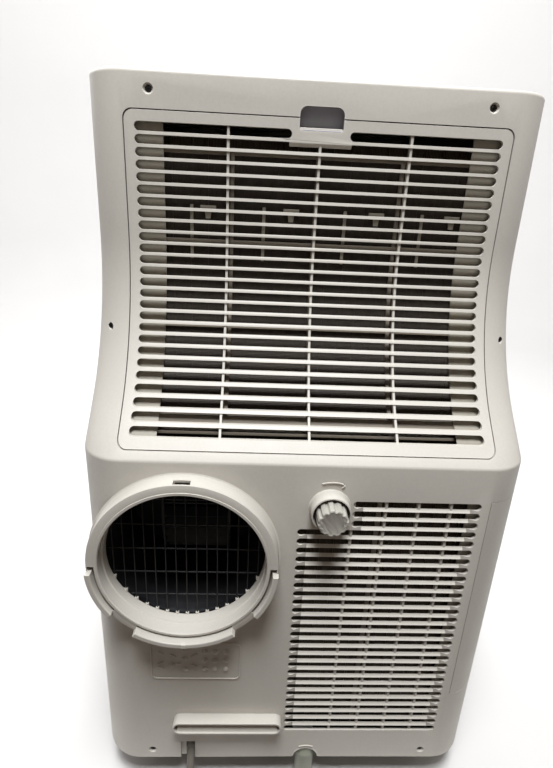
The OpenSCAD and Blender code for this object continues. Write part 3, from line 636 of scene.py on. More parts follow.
def addCord(m):
    wound = coilPoints(m)
    x0, y0, z0 = wound[-1]
    x1, y1, z1 = m["plugEnd"]
    tail = [(x0 + (x1 - x0) * math.sin(t * math.pi / 2) ** 2, y0 + (y1 - y0) * t, z0 + (z1 - z0) * t)
            for t in (0.25, 0.5, 0.75, 1.0)]
    points = m["route"] + wound + tail
    curve = bpy.data.curves.new("mains_cord_run", "CURVE")
    curve.dimensions = "3D"
    curve.bevel_depth = m["radius"]
    curve.bevel_resolution = 5
    curve.use_fill_caps = True
    line = curve.splines.new("POLY")
    line.points.add(len(points) - 1)
    for point, place in zip(line.points, points):
        point.co = (*place, 1.0)
    line.use_smooth = True
    cord = bpy.data.objects.new("mains_cord_run", curve)
    scene.collection.objects.link(cord)
    curve.materials.append(materials["cord"])
    length = sum((Vector(a) - Vector(b)).length for a, b in zip(points, points[1:]))
    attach(cord, "root")
    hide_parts("mains_cord", "cord_coil")
    return cord, length


cord, cordLength = addCord(mains)
plug = bevelledCopy("mains_plug", materials["plug"], "root", 0.0015, 3)
tie = bevelledCopy("cord_tie", materials["rubber"], "root", 0.0003)
print("cord laid,", round(cordLength, 3), "m")

# shells

roundTop = casing["top"] - casing["topRound"]
overTop = roundTop + casing["topRound"] * math.pi / 2
sideRun = casing["halfWidth"] - casing["cornerRadius"] + casing["cornerRadius"] * math.pi / 2
rearRun = sideRun + rearY - casing["cornerRadius"] - casing["splitY"] - casing["seam"] / 2

cover = {
    "half": 0.1685, "low": 0.4175, "high": 0.6932, "corner": 0.008, "play": 0.001,
    "slotHalf": 0.160, "firstSlot": 0.6808, "pitch": 0.01006, "count": 26, "slotHeight": 0.0074,
    "slotGap": 0.0253, "thick": 0.0028, "fall": 0.0006, "ribWidth": 0.0024, "ribLow": 0.422,
    # place and top of each rib
    "ribs": ((-0.080, 0.6850), (0.0, 0.6730), (0.080, 0.6850)),
    # the smooth patch under the finger notch: half width, low and high edge
    "tabHalf": 0.0273, "tabLow": 0.6712, "tabHigh": 0.6764,
}
recess = {"half": 0.019, "high": 0.7027, "round": 0.006, "deep": 0.014, "ledge": 0.6837, "step": 0.0028}
lowerGrille = {
    "first": 0.3708, "pitch": 0.01022, "count": 29, "slotHeight": 0.0074, "right": -0.1607, "left": 0.007,
    "shortLeft": -0.0424, "short": 3, "fall": 0.0023,
    "ribs": (-0.1334, -0.1034, -0.0734, -0.0434), "ribWidth": 0.0024,
}
sidePanel = {
    "low": 0.136, "high": 0.376, "wrap": -0.169, "front": -0.040, "gap": 0.0005,
    "slots": 17, "slotPitch": 0.012, "slotHeight": 0.006,
    # distances of the slots from the panel's rear, front and lower edges
    "rearMargin": 0.012, "frontMargin": 0.022, "lowMargin": 0.024,
}
port = {
    "x": 0.110, "z": 0.311, "inner": 0.076, "outer": 0.0866, "out": 0.0174, "rim": 0.0792, "groove": 0.0816,
}
drainCap = {
    "x": -0.021, "z": 0.3675, "radius": 0.0137, "ring": 0.018, "ringOut": 0.013, "flutes": 11, "depth": 0.11,
}
bezel = {"x0": 0.010, "x1": 0.126, "z0": 0.0895, "z1": 0.106, "out": 0.0115}
screws = [(-0.147, 0.709), (0.147, 0.709), (-0.188, 0.508), (0.188, 0.508), (-0.150, 0.050), (0.150, 0.050)]
screwHole = {"flat": 0.0044, "corner": 0.0033}
drainPipe = {"x": -0.0195, "radius": 0.0104, "arch": 0.0136, "rise": 0.0008, "low": 0.0113, "tilt": 8}
cordNotch = {"x0": 0.1035, "x1": 0.119, "top": 0.063}
casingPlastic = materials["casing"]

bendRows = [casing["shoulder"] + k * 0.0006 for k in range(-3, 3)] + [casing["shoulder"] + slopeHeight]
bendRows += [cover["firstSlot"] - cover["pitch"] * (i + 0.5) for i in range(8, cover["count"])]
topRows = [roundTop + casing["topRound"] * math.pi / 2 * k / 5 for k in range(5)]
flatRun = casing["halfWidth"] - casing["cornerRadius"]
turnColumns = [side * (flatRun + (sideRun - flatRun) * k / 14) for side in (-1, 1) for k in range(15)]


def alongOf(x):
    # distance round the plan of a place that lies x from the middle
    s = abs(x)
    if s > flatRun:
        s = flatRun + casing["cornerRadius"] * math.asin(min(1.0, (s - flatRun) / casing["cornerRadius"]))
    return math.copysign(s, x)


def arc(cx, cz, r, start, end, steps):
    return [(cx + r * math.cos(math.radians(start + (end - start) * i / steps)),
             cz + r * math.sin(math.radians(start + (end - start) * i / steps))) for i in range(steps + 1)]


def makeRearShell():
    n = cordNotch
    pipe = drainPipe
    bottom = casing["bottom"]
    edge = [(-rearRun, bottom)]
    edge += arc(pipe["x"], bottom + pipe["rise"], pipe["arch"], 180, 0, 16)
    edge += [(n["x0"], bottom), (n["x0"], n["top"]), (n["x1"], n["top"]), (n["x1"], bottom)]
    edge += [(rearRun, bottom), (rearRun, overTop), (-rearRun, overTop)]
    edge += [(-rearRun, sidePanel["high"]), (alongOf(sidePanel["wrap"]), sidePanel["high"]),
             (alongOf(sidePanel["wrap"]), sidePanel["low"]), (-rearRun, sidePanel["low"])]
    c = cover["play"]
    half, high = cover["half"] + c, cover["high"] + c
    r = recess["round"]
    opening = arc(half - cover["corner"], high - cover["corner"], cover["corner"], 0, 90, 6)
    opening += [(recess["half"], high)] + arc(recess["half"] - r, recess["high"] - r, r, 0, 90, 6)
    opening += arc(-recess["half"] + r, recess["high"] - r, r, 90, 180, 6) + [(-recess["half"], high)]
    opening += arc(-half + cover["corner"], high - cover["corner"], cover["corner"], 90, 180, 6)
    low = cover["low"] - c
    opening += arc(-half + cover["corner"], low + cover["corner"], cover["corner"], 180, 270, 6)
    opening += arc(half - cover["corner"], low + cover["corner"], cover["corner"], 270, 360, 6)
    loops = [edge, opening]
    g = lowerGrille
    falls = []
    r = g["slotHeight"] / 2
    run = r + fallRun
    for i in range(g["count"]):
        left = g["shortLeft"] if i < g["short"] else g["left"]
        z = g["first"] - g["pitch"] * i
        loops.append(slotLoop(g["right"], left, z, g["slotHeight"]))
        if i < g["count"] - 1:
            falls.append((g["right"] + run, left - run, z - r, g["fall"]))
    loops.append(roundLoop(port["x"], port["z"], port["inner"] + 0.006, 72))
    loops.append(roundLoop(drainCap["x"], drainCap["z"], drainCap["ring"] - 0.002))
    b = bezel
    loops.append(roundedLoop(b["x0"] + 0.002, b["x1"] - 0.002, b["z0"] + 0.002, b["z1"] - 0.002, 0.006))
    for x, z in screws:
        hole = screwHole["flat" if abs(x) < flatRun else "corner"]
        loops.append(roundLoop(alongOf(x), z, hole, 24))
    bm = plate(loops, (0.0, casing["wall"]), rows=bendRows + topRows, wrap=wrapRear,
               columns=turnColumns + [g["right"] + run, g["shortLeft"] - run, g["left"] - run], falls=falls)
    return finishPiece("rear_casing", bm, casingPlastic, "root", ("rear_shell",), 0.0011, 3)


def addBox(bm, x, y, z):
    made = bmesh.ops.create_cube(bm, size=1.0)
    bmesh.ops.scale(bm, vec=(x[1] - x[0], y[1] - y[0], z[1] - z[0]), verts=made["verts"])
    middle = ((x[0] + x[1]) / 2, (y[0] + y[1]) / 2, (z[0] + z[1]) / 2)
    bmesh.ops.translate(bm, vec=middle, verts=made["verts"])
    return made["verts"]


def makeGrilleRibs():
    bm = bmesh.new()
    g = lowerGrille
    low = g["first"] - g["pitch"] * (g["count"] - 0.4)
    for x in g["ribs"]:
        addBox(bm, (x - g["ribWidth"] / 2, x + g["ribWidth"] / 2), (rearY - 0.0062, rearY - 0.0014),
               (low, g["first"] + g["pitch"] * 0.6))
    return finishPiece("grille_ribs", bm, casingPlastic, "root", (), 0.0003)


def makeRecess():
    # pocket behind the finger notch; its back slants away downwards, so it stays in the shade
    r = recess
    bm = bmesh.new()
    outline = [(r["half"], r["ledge"] + 0.001)]
    outline += arc(r["half"] - r["round"], r["high"] - r["round"], r["round"], 0, 90, 6)
    outline += arc(-r["half"] + r["round"], r["high"] - r["round"], r["round"], 90, 180, 6)
    outline += [(-r["half"], r["ledge"] + 0.001)]
    addLoop(bm, outline)
    face = bmesh.ops.contextual_create(bm, geom=bm.edges[:])["faces"]
    bmesh.ops.translate(bm, vec=(0, upperY - 0.0004, 0), verts=bm.verts[:])
    rim = bmesh.ops.extrude_face_region(bm, geom=face)
    for v in vertsOf(rim):
        fall = (r["high"] - v.co.z) / (r["high"] - r["ledge"])
        v.co.y -= 0.0035 + (r["deep"] - 0.004) * max(0.0, min(1.0, fall))
    bmesh.ops.delete(bm, geom=face, context="FACES_ONLY")
    bmesh.ops.recalc_face_normals(bm, faces=bm.faces[:])
    bmesh.ops.reverse_faces(bm, faces=[f for f in bm.faces if f.normal.y < 0 and abs(f.normal.x) < 0.5])
    bmesh.ops.solidify(bm, geom=bm.faces[:], thickness=-0.0012)
    # the pocket material's darker blue-grey is painted shade
    return finishPiece("finger_pocket", bm, materials["pocket"], "root", (), 0.0008, 3)


def makeFilterCover():
    c = cover
    half, high, low, r = c["half"], c["high"], c["low"], c["corner"]
    edge = arc(half - r, high - r, r, 0, 90, 6)
    notch, foot, small = recess["half"], recess["ledge"], 0.003
    edge += [(notch, high)] + arc(notch - small, foot + small, small, 0, -90, 4)
    edge += arc(-notch + small, foot + small, small, -90, -180, 4) + [(-notch, high)]
    edge += arc(-half + r, high - r, r, 90, 180, 6)
    edge += arc(-half + r, low + r, r, 180, 270, 6)
    edge += arc(half - r, low + r, r, 270, 360, 6)
    loops = [edge]
    falls = []
    h = c["slotHeight"] / 2
    run = h + fallRun
    for i in range(c["count"]):
        z = c["firstSlot"] - c["pitch"] * i
        # the top slot is in two parts, either side of the finger notch
        parts = [(-c["slotHalf"], -c["slotGap"]), (c["slotGap"], c["slotHalf"])]
        for x0, x1 in parts if i == 0 else [(-c["slotHalf"], c["slotHalf"])]:
            loops.append(slotLoop(x0, x1, z, c["slotHeight"]))
            if i < c["count"] - 1:
                falls.append((x0 + run, x1 - run, z - h, c["fall"]))
    bm = plate(loops, (0.0, c["thick"]), rows=bendRows, wrap=wrapRear, falls=falls,
               columns=turnColumns + [-c["slotHalf"] + run, -c["slotGap"] - run,
                                      c["slotGap"] + run, c["slotHalf"] - run])
    grille = finishPiece("filter_cover_panel", bm, casingPlastic, "filter_cover", ("filter_cover",),
                         0.0008, 3)
    bm = bmesh.new()
    for x, top in c["ribs"]:
        x0, x1 = x - c["ribWidth"] / 2, x + c["ribWidth"] / 2
        rib = plate([[(x0, c["ribLow"]), (x1, c["ribLow"]), (x1, top), (x0, top)]],
                    (0.0011, 0.0060), rows=bendRows, wrap=wrapRear)
        joinInto(bm, rib)
    return grille, finishPiece("filter_cover_ribs", bm, casingPlastic, "filter_cover", (), 0.0004)


def extrudeAcross(bm, profile, x0, x1):
    # closed (y, z) profile carried from x0 to x1
    ends = [[bm.verts.new((x, y, z)) for y, z in profile] for x in (x0, x1)]
    for i in range(len(profile)):
        j = (i + 1) % len(profile)
        bm.faces.new((ends[0][i], ends[0][j], ends[1][j], ends[1][i]))
    bm.faces.new(ends[0])
    bm.faces.new(list(reversed(ends[1])))


def makeFingerLip():
    # ledge inside the finger notch, and the smooth patch the fingers pull
    r = recess
    y = upperY
    bm = bmesh.new()
    extrudeAcross(bm, [(y - 0.0120, r["ledge"] + r["step"]), (y - 0.0022, r["ledge"] + r["step"]),
                       (y - 0.0019, r["ledge"] + 0.0005), (y - 0.0002, r["ledge"] - 0.0004),
                       (y - 0.0012, r["ledge"] - 0.0020), (y - 0.0120, r["ledge"] - 0.0020)],
                  -r["half"] + 0.0005, r["half"] - 0.0005)
    low, high = cover["tabLow"], cover["tabHigh"]
    extrudeAcross(bm, [(y - 0.0040, high), (y - 0.0001, high), (y - 0.0001, low + 0.0026), (y - 0.0022, low),
                       (y - 0.0040, low)], -cover["tabHalf"], cover["tabHalf"])
    return finishPiece("finger_lip", bm, casingPlastic, "filter_cover", (), 0.0004, 2)


def makeSideCover():
    p = sidePanel
    edgeAlong = alongOf(p["wrap"]) - p["gap"]
    frontAlong = -(sideRun + rearY - casing["cornerRadius"] - (p["front"] + p["gap"]))
    loops = [[(frontAlong, p["low"] + p["gap"]), (edgeAlong, p["low"] + p["gap"]),
              (edgeAlong, p["high"] - p["gap"]), (frontAlong, p["high"] - p["gap"])]]
    start = -(sideRun + p["rearMargin"])
    end = frontAlong + p["frontMargin"]
    for i in range(p["slots"]):
        z = p["low"] + p["lowMargin"] + p["slotPitch"] * i
        loops.append(slotLoop(end, start, z, p["slotHeight"]))
    bm = plate(loops, (0.0, casing["wall"]), columns=turnColumns, wrap=wrapSide)
    return finishPiece("side_cover_panel", bm, casingPlastic, "side_cover", ("side_cover",), 0.0006)


def wrapSide(p):
    # like the rear, with true distances along the flat side
    along, depth, up = p
    s = abs(along)
    if s <= sideRun:
        return wrapRear(p)
    return Vector((-(casing["halfWidth"] - depth), rearY - casing["cornerRadius"] - (s - sideRun), up))


def makeFrontShell():
    frontRun = sideRun + casing["splitY"] - casing["seam"] / 2 - frontY - casing["cornerRadius"]
    bottom = casing["bottom"]
    # the side cover's notch is on the -X side
    notch = -(sideRun + sidePanel["front"] - (frontY + casing["cornerRadius"]))
    edge = [(-frontRun, bottom), (frontRun, bottom), (frontRun, overTop), (-frontRun, overTop),
            (-frontRun, sidePanel["high"]), (notch, sidePanel["high"]), (notch, sidePanel["low"]),
            (-frontRun, sidePanel["low"])]
    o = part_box("outlet_frame")
    loops = [edge, roundedLoop(o[0].x - 0.0005, o[1].x + 0.0005, o[0].z - 0.0005, o[1].z + 0.0005, 0.008)]
    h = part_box("side_handles")
    start = sideRun + h[0].y - (frontY + casing["cornerRadius"])
    end = sideRun + h[1].y - (frontY + casing["cornerRadius"])
    for a, b in ((start, end), (-end, -start)):
        loops.append(roundedLoop(a, b, h[0].z, h[1].z, 0.010))
    bm = plate(loops, (0.0, casing["wall"]), rows=topRows, columns=turnColumns, wrap=wrapFront)
    return finishPiece("front_casing", bm, casingPlastic, "root", ("front_shell",), 0.0006)


# fittings on the rear panel

def turned(bm, profile, x, z, start=0.0, sweep=360.0, steps=96):
    # spins a closed profile of (radius, y) round an axis along y; start and sweep in degrees, from +X upwards
    corners = [bm.verts.new((r, y, 0)) for r, y in profile]
    rim = [bm.edges.new((v, corners[(i + 1) % len(corners)])) for i, v in enumerate(corners)]
    whole = sweep >= 360.0
    before = set(bm.verts) - set(corners)
    bmesh.ops.rotate(bm, verts=corners, cent=(0, 0, 0), matrix=Matrix.Rotation(math.radians(-start), 3, "Y"))
    bmesh.ops.spin(bm, geom=corners + rim, cent=(0, 0, 0), axis=(0, -1, 0), angle=math.radians(sweep),
                   steps=max(3, int(steps * sweep / 360.0)), use_merge=whole)
    added = [v for v in bm.verts if v not in before]
    if not whole:
        fresh = set(added)
        openEdges = [e for e in bm.edges if e.is_boundary and e.verts[0] in fresh]
        bmesh.ops.holes_fill(bm, edges=openEdges)
    bmesh.ops.translate(bm, vec=(x, 0, z), verts=added)
    return added


def cutAway(bm, tool):
    # takes one closed mesh out of another
    parts = []
    for item in (bm, tool):
        bmesh.ops.recalc_face_normals(item, faces=item.faces[:])
        mesh = bpy.data.meshes.new("work")
        item.to_mesh(mesh)
        item.free()
        parts.append(bpy.data.objects.new("work", mesh))
        scene.collection.objects.link(parts[-1])
    cut = parts[0].modifiers.new("cut", "BOOLEAN")
    cut.operation = "DIFFERENCE"
    cut.solver = "EXACT"
    cut.object = parts[1]
    bpy.context.view_layer.update()
    done = bpy.data.meshes.new_from_object(parts[0].evaluated_get(bpy.context.evaluated_depsgraph_get()))
    out = bmesh.new()
    out.from_mesh(done)
    bpy.data.meshes.remove(done)
    for item in parts:
        mesh = item.data
        bpy.data.objects.remove(item)
        bpy.data.meshes.remove(mesh)
    return out


def cutBoxes(bm, boxes):
    tool = bmesh.new()
    for x, y, z in boxes:
        addBox(tool, x, y, z)
    return cutAway(bm, tool)


# bayonet lips: start and end in degrees from +X upwards, and how far past the ring
lips = ((-37.0, -3.0, 0.0050), (-177.0, -143.0, 0.0050), (-124.0, -57.0, 0.0070))
lipGap = {"starts": (-2.9, -180.3), "sweep": 3.2, "groovePlay": 0.4}
# latch slot: its ends left and right of the middle, and the thin wall left in front
latch = {"right": -0.0077, "left": 0.0073, "wall": 0.0018, "deep": 0.0085}


def makeCollar():
    p = port
    front = rearY + p["out"]
    bm = bmesh.new()
    profile = [(p["inner"] - 0.0012, rearY - 0.0066), (p["inner"] - 0.0012, rearY + 0.0035),
               (p["inner"], rearY + 0.0045), (p["inner"], front - 0.0010), (p["inner"] + 0.0008, front),
               (p["rim"] - 0.0003, front), (p["rim"], front - 0.0006), (p["outer"] - 0.0010, front - 0.0006),
               (p["outer"] - 0.0003, front - 0.0009), (p["outer"], front - 0.0018),
               (p["outer"] + 0.0002, rearY + 0.0022), (p["outer"] + 0.0010, rearY + 0.0006),
               (p["outer"] + 0.0024, rearY), (p["outer"] + 0.0024, rearY - 0.0004),
               (p["inner"] + 0.0056, rearY - 0.0004), (p["inner"] + 0.0056, rearY - 0.0066)]
    turned(bm, profile, p["x"], p["z"], steps=144)
    tool = bmesh.new()
    play = lipGap["groovePlay"]
    for start, end, past in lips:
        turned(tool, [(p["rim"], front - 0.007), (p["groove"], front - 0.007), (p["groove"], front + 0.002),
                      (p["rim"], front + 0.002)], p["x"], p["z"], start - play, end - start + 2 * play)
    bm = cutAway(bm, tool)
    # gap over the upper end of each side lip
    tool = bmesh.new()
    for start in lipGap["starts"]:
        turned(tool, [(p["rim"] + 0.0001, front - 0.0062), (p["outer"] - 0.0012, front - 0.0062),
                      (p["outer"] - 0.0012, front + 0.002), (p["rim"] + 0.0001, front + 0.002)],
               p["x"], p["z"], start, lipGap["sweep"])
    bm = cutAway(bm, tool)
    # latch slot at the top, with a thin wall left in front of it and a dark hollow behind
    x0, x1 = p["x"] + latch["right"], p["x"] + latch["left"]
    roof = p["z"] + p["inner"]
    bm = cutBoxes(bm, [((x0, x1), (front - latch["deep"], front - latch["wall"]),
                        (roof + 0.0032, p["z"] + 0.1))])
    bm = cutBoxes(bm, [((x0 + 0.001, x1 - 0.001), (rearY - 0.008, front - 0.004),
                        (roof + 0.0034, roof + latch["deep"]))])
    return finishPiece("exhaust_collar_ring", bm, casingPlastic, "root", ("exhaust_collar",))


def makeLips():
    # bayonet lips that stand forward of the ring, two at the sides and a long one below
    p = port
    bm = bmesh.new()
    front = rearY + p["out"]
    for start, end, past in lips:
        turned(bm, [(p["groove"], front - 0.0066), (p["outer"] - 0.0003, front - 0.0066),
                    (p["outer"] + 0.0005, front - 0.0012), (p["outer"] + 0.0005, front + past - 0.0008),
                    (p["outer"] - 0.0003, front + past), (p["groove"] + 0.0008, front + past),
                    (p["groove"], front + past - 0.0008)], p["x"], p["z"], start, end - start)
    low = p["z"] - p["outer"]
    addBox(bm, (p["x"] - 0.0022, p["x"] + 0.0022), (front + 0.0040, front + lips[2][2] + 0.0006),
           (low + 0.0004, low + 0.0049))
    return finishPiece("bayonet_lips", bm, casingPlastic, "root", (), 0.0005)


guard = {"wire": 0.0006, "step": 0.0098, "side": 7, "rowStep": 0.027, "rowSide": 2, "rowOffset": 0.002}


def addRod(bm, a, b, r, segments=8):
    a, b = Vector(a), Vector(b)
    turn = (b - a).to_track_quat("Z", "Y").to_matrix()
    made = bmesh.ops.create_cone(bm, segments=segments, radius1=r, radius2=r, depth=(b - a).length,
                                 cap_ends=True)
    bmesh.ops.rotate(bm, verts=made["verts"], cent=(0, 0, 0), matrix=turn)
    bmesh.ops.translate(bm, vec=(a + b) / 2, verts=made["verts"])


def makeGuard():
    # upright wires in front, a few level ones behind, held by a ring
    g = guard
    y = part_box("duct_guard")[1].y - 0.0008
    reach = port["inner"] + 0.001
    bm = bmesh.new()
    px, pz = port["x"], port["z"]
    wireXs = [g["step"] * i for i in range(-g["side"], g["side"] + 1)]
    for x in wireXs:
        half = math.sqrt(reach ** 2 - x ** 2)
        addRod(bm, (px + x, y, pz - half), (px + x, y, pz + half), g["wire"])
    for i in range(-g["rowSide"], g["rowSide"] + 1):
        z = g["rowOffset"] + g["rowStep"] * i
        half = math.sqrt(reach ** 2 - z ** 2)
        addRod(bm, (px - half, y - 0.0014, pz + z), (px + half, y - 0.0014, pz + z), g["wire"] * 1.15)
    turned(bm, [(reach - 0.002, y - 0.0020), (reach + 0.004, y - 0.0020), (reach + 0.004, y - 0.0004),
                (reach - 0.002, y - 0.0004)], px, pz)
    wires = finishPiece("duct_guard_wires", bm, materials["wire"], "root", ("duct_guard",), 0.0)
    # studs of the collar that hold the wire ends
    bm = bmesh.new()
    for x in wireXs:
        foot = pz - math.sqrt((port["inner"] - 0.0014) ** 2 - x ** 2)
        addBox(bm, (px + x - 0.0016, px + x + 0.0016), (y - 0.0010, y + 0.0016),
               (foot - 0.002, foot + 0.0014))
    return wires, finishPiece("guard_studs", bm, casingPlastic, "root", (), 0.0003)


def makeKnob():
    # drain outlet with its ring, and the fluted cap on it
    d = drainCap
    bm = bmesh.new()
    out = rearY + d["ringOut"]
    r = d["ring"]
    turned(bm, [(0.0001, rearY + 0.0010), (0.0001, rearY - 0.0060), (r - 0.0024, rearY - 0.0060),
                (r - 0.0024, rearY - 0.0003), (r + 0.0016, rearY - 0.0003), (r + 0.0004, rearY + 0.0008),
                (r, rearY + 0.0024), (r, out - 0.0010), (r - 0.0004, out - 0.0002),
                (r - 0.0014, out), (r - 0.0016, out - 0.0008), (r - 0.0018, rearY + 0.0010)], d["x"], d["z"])
    # the outlet inside it
    turned(bm, [(0.0050, rearY + 0.0008), (0.0070, rearY + 0.0008), (0.0070, rearY + 0.0110),
                (0.0050, rearY + 0.0110)], d["x"], d["z"], steps=48)
    ring = finishPiece("drain_outlet_ring", bm, casingPlastic, "root", ("drain_spigot",), 0.0)
    bm = bmesh.new()
    # how far out, and the cap's width there
    steps = ((0.0020, 1.0), (0.0026, 1.03), (0.0215, 1.0), (0.0237, 0.985), (0.0246, 0.95), (0.0250, 0.88))
    loop = bmesh.ops.create_circle(bm, segments=144, radius=d["radius"], cap_ends=True)["verts"]
    bmesh.ops.rotate(bm, verts=loop, cent=(0, 0, 0), matrix=Matrix.Rotation(math.radians(90), 3, "X"))
    for v in loop:
        a = math.atan2(v.co.z, v.co.x)
        flute = max(0.0, math.cos(d["flutes"] * a)) ** 0.8
        v.co *= 1.0 - d["depth"] * flute
    bmesh.ops.translate(bm, vec=(0, rearY + steps[0][0], 0), verts=loop)
    top = bm.faces[:]
    for (y0, s0), (y1, s1) in zip(steps, steps[1:]):
        grown = bmesh.ops.extrude_face_region(bm, geom=top)
        ends = vertsOf(grown)
        if y0 > steps[0][0]:
            bmesh.ops.delete(bm, geom=top, context="FACES_ONLY")
        top = [f for f in grown["geom"] if isinstance(f, bmesh.types.BMFace)]
        bmesh.ops.translate(bm, vec=(0, y1 - y0, 0), verts=ends)
        bmesh.ops.scale(bm, vec=(s1 / s0, 1, s1 / s0), verts=ends)
    bmesh.ops.inset_region(bm, faces=top, thickness=0.0016)
    bmesh.ops.translate(bm, vec=(0, -0.0004, 0), verts=list({v for f in top for v in f.verts}))
    bmesh.ops.translate(bm, vec=(d["x"], 0, d["z"]), verts=bm.verts[:])
    cap = finishPiece("drain_cap_fluted", bm, materials["cap"], "drain_cap", ("drain_cap",), 0.0)
    return ring, cap


def makeBezel():
    b = bezel
    wall = 0.0024
    r = (b["z1"] - b["z0"]) / 2

    def inside(inset):
        return roundedLoop(b["x0"] + inset, b["x1"] - inset, b["z0"] + inset, b["z1"] - inset,
                           r - inset - 0.0001, 10)

    bm = plate([inside(0.0), inside(wall)], (rearY - 0.008, rearY + b["out"]))
    back = plate([inside(0.001)], (rearY - 0.0095, rearY - 0.0079))
    joinInto(bm, back)
    # the floor of the slot slopes up and back
    low, high = b["z0"] + wall - 0.0006, b["z1"] - wall - 0.0014
    extrudeAcross(bm, [(rearY - 0.0079, low), (rearY + b["out"] - 0.0012, low), (rearY + 0.0052, high),
                       (rearY - 0.0079, high)], b["x0"] + wall + 0.0022, b["x1"] - wall - 0.0022)
    return finishPiece("accessory_slot_bezel", bm, casingPlastic, "root", ("accessory_slot",),
                       0.0007, 3)


marks = {
    "proud": 0.0011,
    "plate": (0.056, 0.147, 0.157, 0.206),
    "dots": ((0.071, 0.0815, 0.092), (0.171, 0.1825, 0.194)),
    "bumps": ((0.112, 0.170), (0.1125, 0.1845), (0.1125, 0.197), (0.1255, 0.176)),
    "strokes": ((0.100, 0.1735, 0.106, 0.177), (0.100, 0.191, 0.106, 0.187), (0.1335, 0.170, 0.140, 0.1735),
                (0.134, 0.180, 0.140, 0.177), (0.134, 0.190, 0.140, 0.1935), (0.121, 0.187, 0.127, 0.190),
                (0.116, 0.1775, 0.121, 0.1775)),
}


def addBar(bm, x0, z0, x1, z1, width=0.0011):
    # raised stroke on the rear panel
    mid = Vector(((x0 + x1) / 2, 0, (z0 + z1) / 2))
    run = math.hypot(x1 - x0, z1 - z0)
    verts = addBox(bm, (-run / 2, run / 2), (rearY - 0.0005, rearY + marks["proud"]), (-width / 2, width / 2))
    slant = Matrix.Rotation(-math.atan2(z1 - z0, x1 - x0), 3, "Y")
    bmesh.ops.rotate(bm, verts=verts, cent=(0, 0, 0), matrix=slant)
    bmesh.ops.translate(bm, vec=mid, verts=verts)


def addDome(bm, x, z, r, high):
    made = bmesh.ops.create_uvsphere(bm, u_segments=20, v_segments=10, radius=r)
    bmesh.ops.scale(bm, vec=(1, high / r, 1), verts=made["verts"])
    bmesh.ops.translate(bm, vec=(x, rearY, z), verts=made["verts"])


def makeMarks():
    # a raised frame with bumps and strokes, and small arcs over the cap and the drain; they spell nothing
    x0, x1, z0, z1 = marks["plate"]
    inset = 0.0011
    bm = plate([roundedLoop(x0, x1, z0, z1, 0.006),
                roundedLoop(x0 + inset, x1 - inset, z0 + inset, z1 - inset, 0.005)],
               (rearY - 0.0005, rearY + marks["proud"]))
    for x in marks["dots"][0]:
        for z in marks["dots"][1]:
            addDome(bm, x, z, 0.0029, 0.0026)
    for x, z in marks["bumps"]:
        addDome(bm, x, z, 0.0027, 0.0022)
    for stroke in marks["strokes"]:
        addBar(bm, *stroke)
    turned(bm, [(0.0305, rearY - 0.0005), (0.0316, rearY - 0.0005), (0.0316, rearY + marks["proud"]),
                (0.0305, rearY + marks["proud"])], drainCap["x"] - 0.0010, drainCap["z"] - 0.0050, 72.0, 36.0)
    addBar(bm, drainCap["x"] - 0.0120, drainCap["z"] + 0.0235, drainCap["x"] - 0.0095, drainCap["z"] + 0.0210)
    turned(bm, [(0.0185, rearY - 0.0005), (0.0196, rearY - 0.0005), (0.0196, rearY + marks["proud"]),
                (0.0185, rearY + marks["proud"])], drainPipe["x"], casing["bottom"], 66.0, 48.0)
    # raised edge round the drain arch
    turned(bm, [(drainPipe["arch"], rearY - 0.001), (drainPipe["arch"] + 0.0016, rearY - 0.001),
                (drainPipe["arch"] + 0.0016, rearY + 0.0002), (drainPipe["arch"], rearY + 0.0005)],
           drainPipe["x"], casing["bottom"] + drainPipe["rise"], 3.0, 174.0)
    return finishPiece("raised_marks", bm, casingPlastic, "root", (), 0.0003)


def makeDrainPipe():
    # short hose end that hangs from the lower drain
    d = drainPipe
    bm = bmesh.new()
    r = d["radius"]
    profile = [(0.0078, 0.0), (r, 0.0), (r, 0.026), (r + 0.0003, 0.0265), (r + 0.0003, 0.0285), (r, 0.029),
               (r, 0.0372), (r - 0.001, 0.0378), (0.0078, 0.0378)]
    turned(bm, profile, 0, 0, steps=64)
    upright = Matrix.Rotation(math.radians(90 + d["tilt"]), 3, "X")
    bmesh.ops.rotate(bm, verts=bm.verts[:], cent=(0, 0, 0), matrix=upright)
    bmesh.ops.translate(bm, vec=(d["x"], rearY - 0.0057, d["low"]), verts=bm.verts[:])
    return finishPiece("drain_hose_end", bm, materials["spout"], "root", ("drain_pipe",), 0.0004)


def makeScrews():
    bm = bmesh.new()
    for x, z in screws:
        y = wrapRear(Vector((alongOf(x), 0, z))).y - 0.0036
        head = bmesh.new()
        turned(head, [(0.0001, y - 0.006), (0.0016, y - 0.006), (0.0016, y), (0.0029, y),
                      (0.0029, y + 0.0012), (0.0020, y + 0.0019), (0.0001, y + 0.0021)], x, z, steps=32)
        for wide, high in ((0.0019, 0.0004), (0.0004, 0.0019)):
            head = cutBoxes(head, [((x - wide, x + wide), (y + 0.0009, y + 0.004), (z - high, z + high))])
        joinInto(bm, head)
    piece = finishPiece("casing_screws", bm, materials["screw"], "root", ("shell_screws",), 0.0)
    # shallow dish round each hole
    rings = bmesh.new()
    for x, z in screws:
        if abs(x) > flatRun:
            continue
        y = wrapRear(Vector((alongOf(x), 0, z))).y
        turned(rings, [(0.0030, y - 0.0030), (0.0030, y - 0.0020), (0.0044, y - 0.0002), (0.0050, y - 0.0006),
                       (0.0050, y - 0.0030)], x, z, steps=36)
    return piece, finishPiece("screw_seats", rings, casingPlastic, "root", (), 0.0)


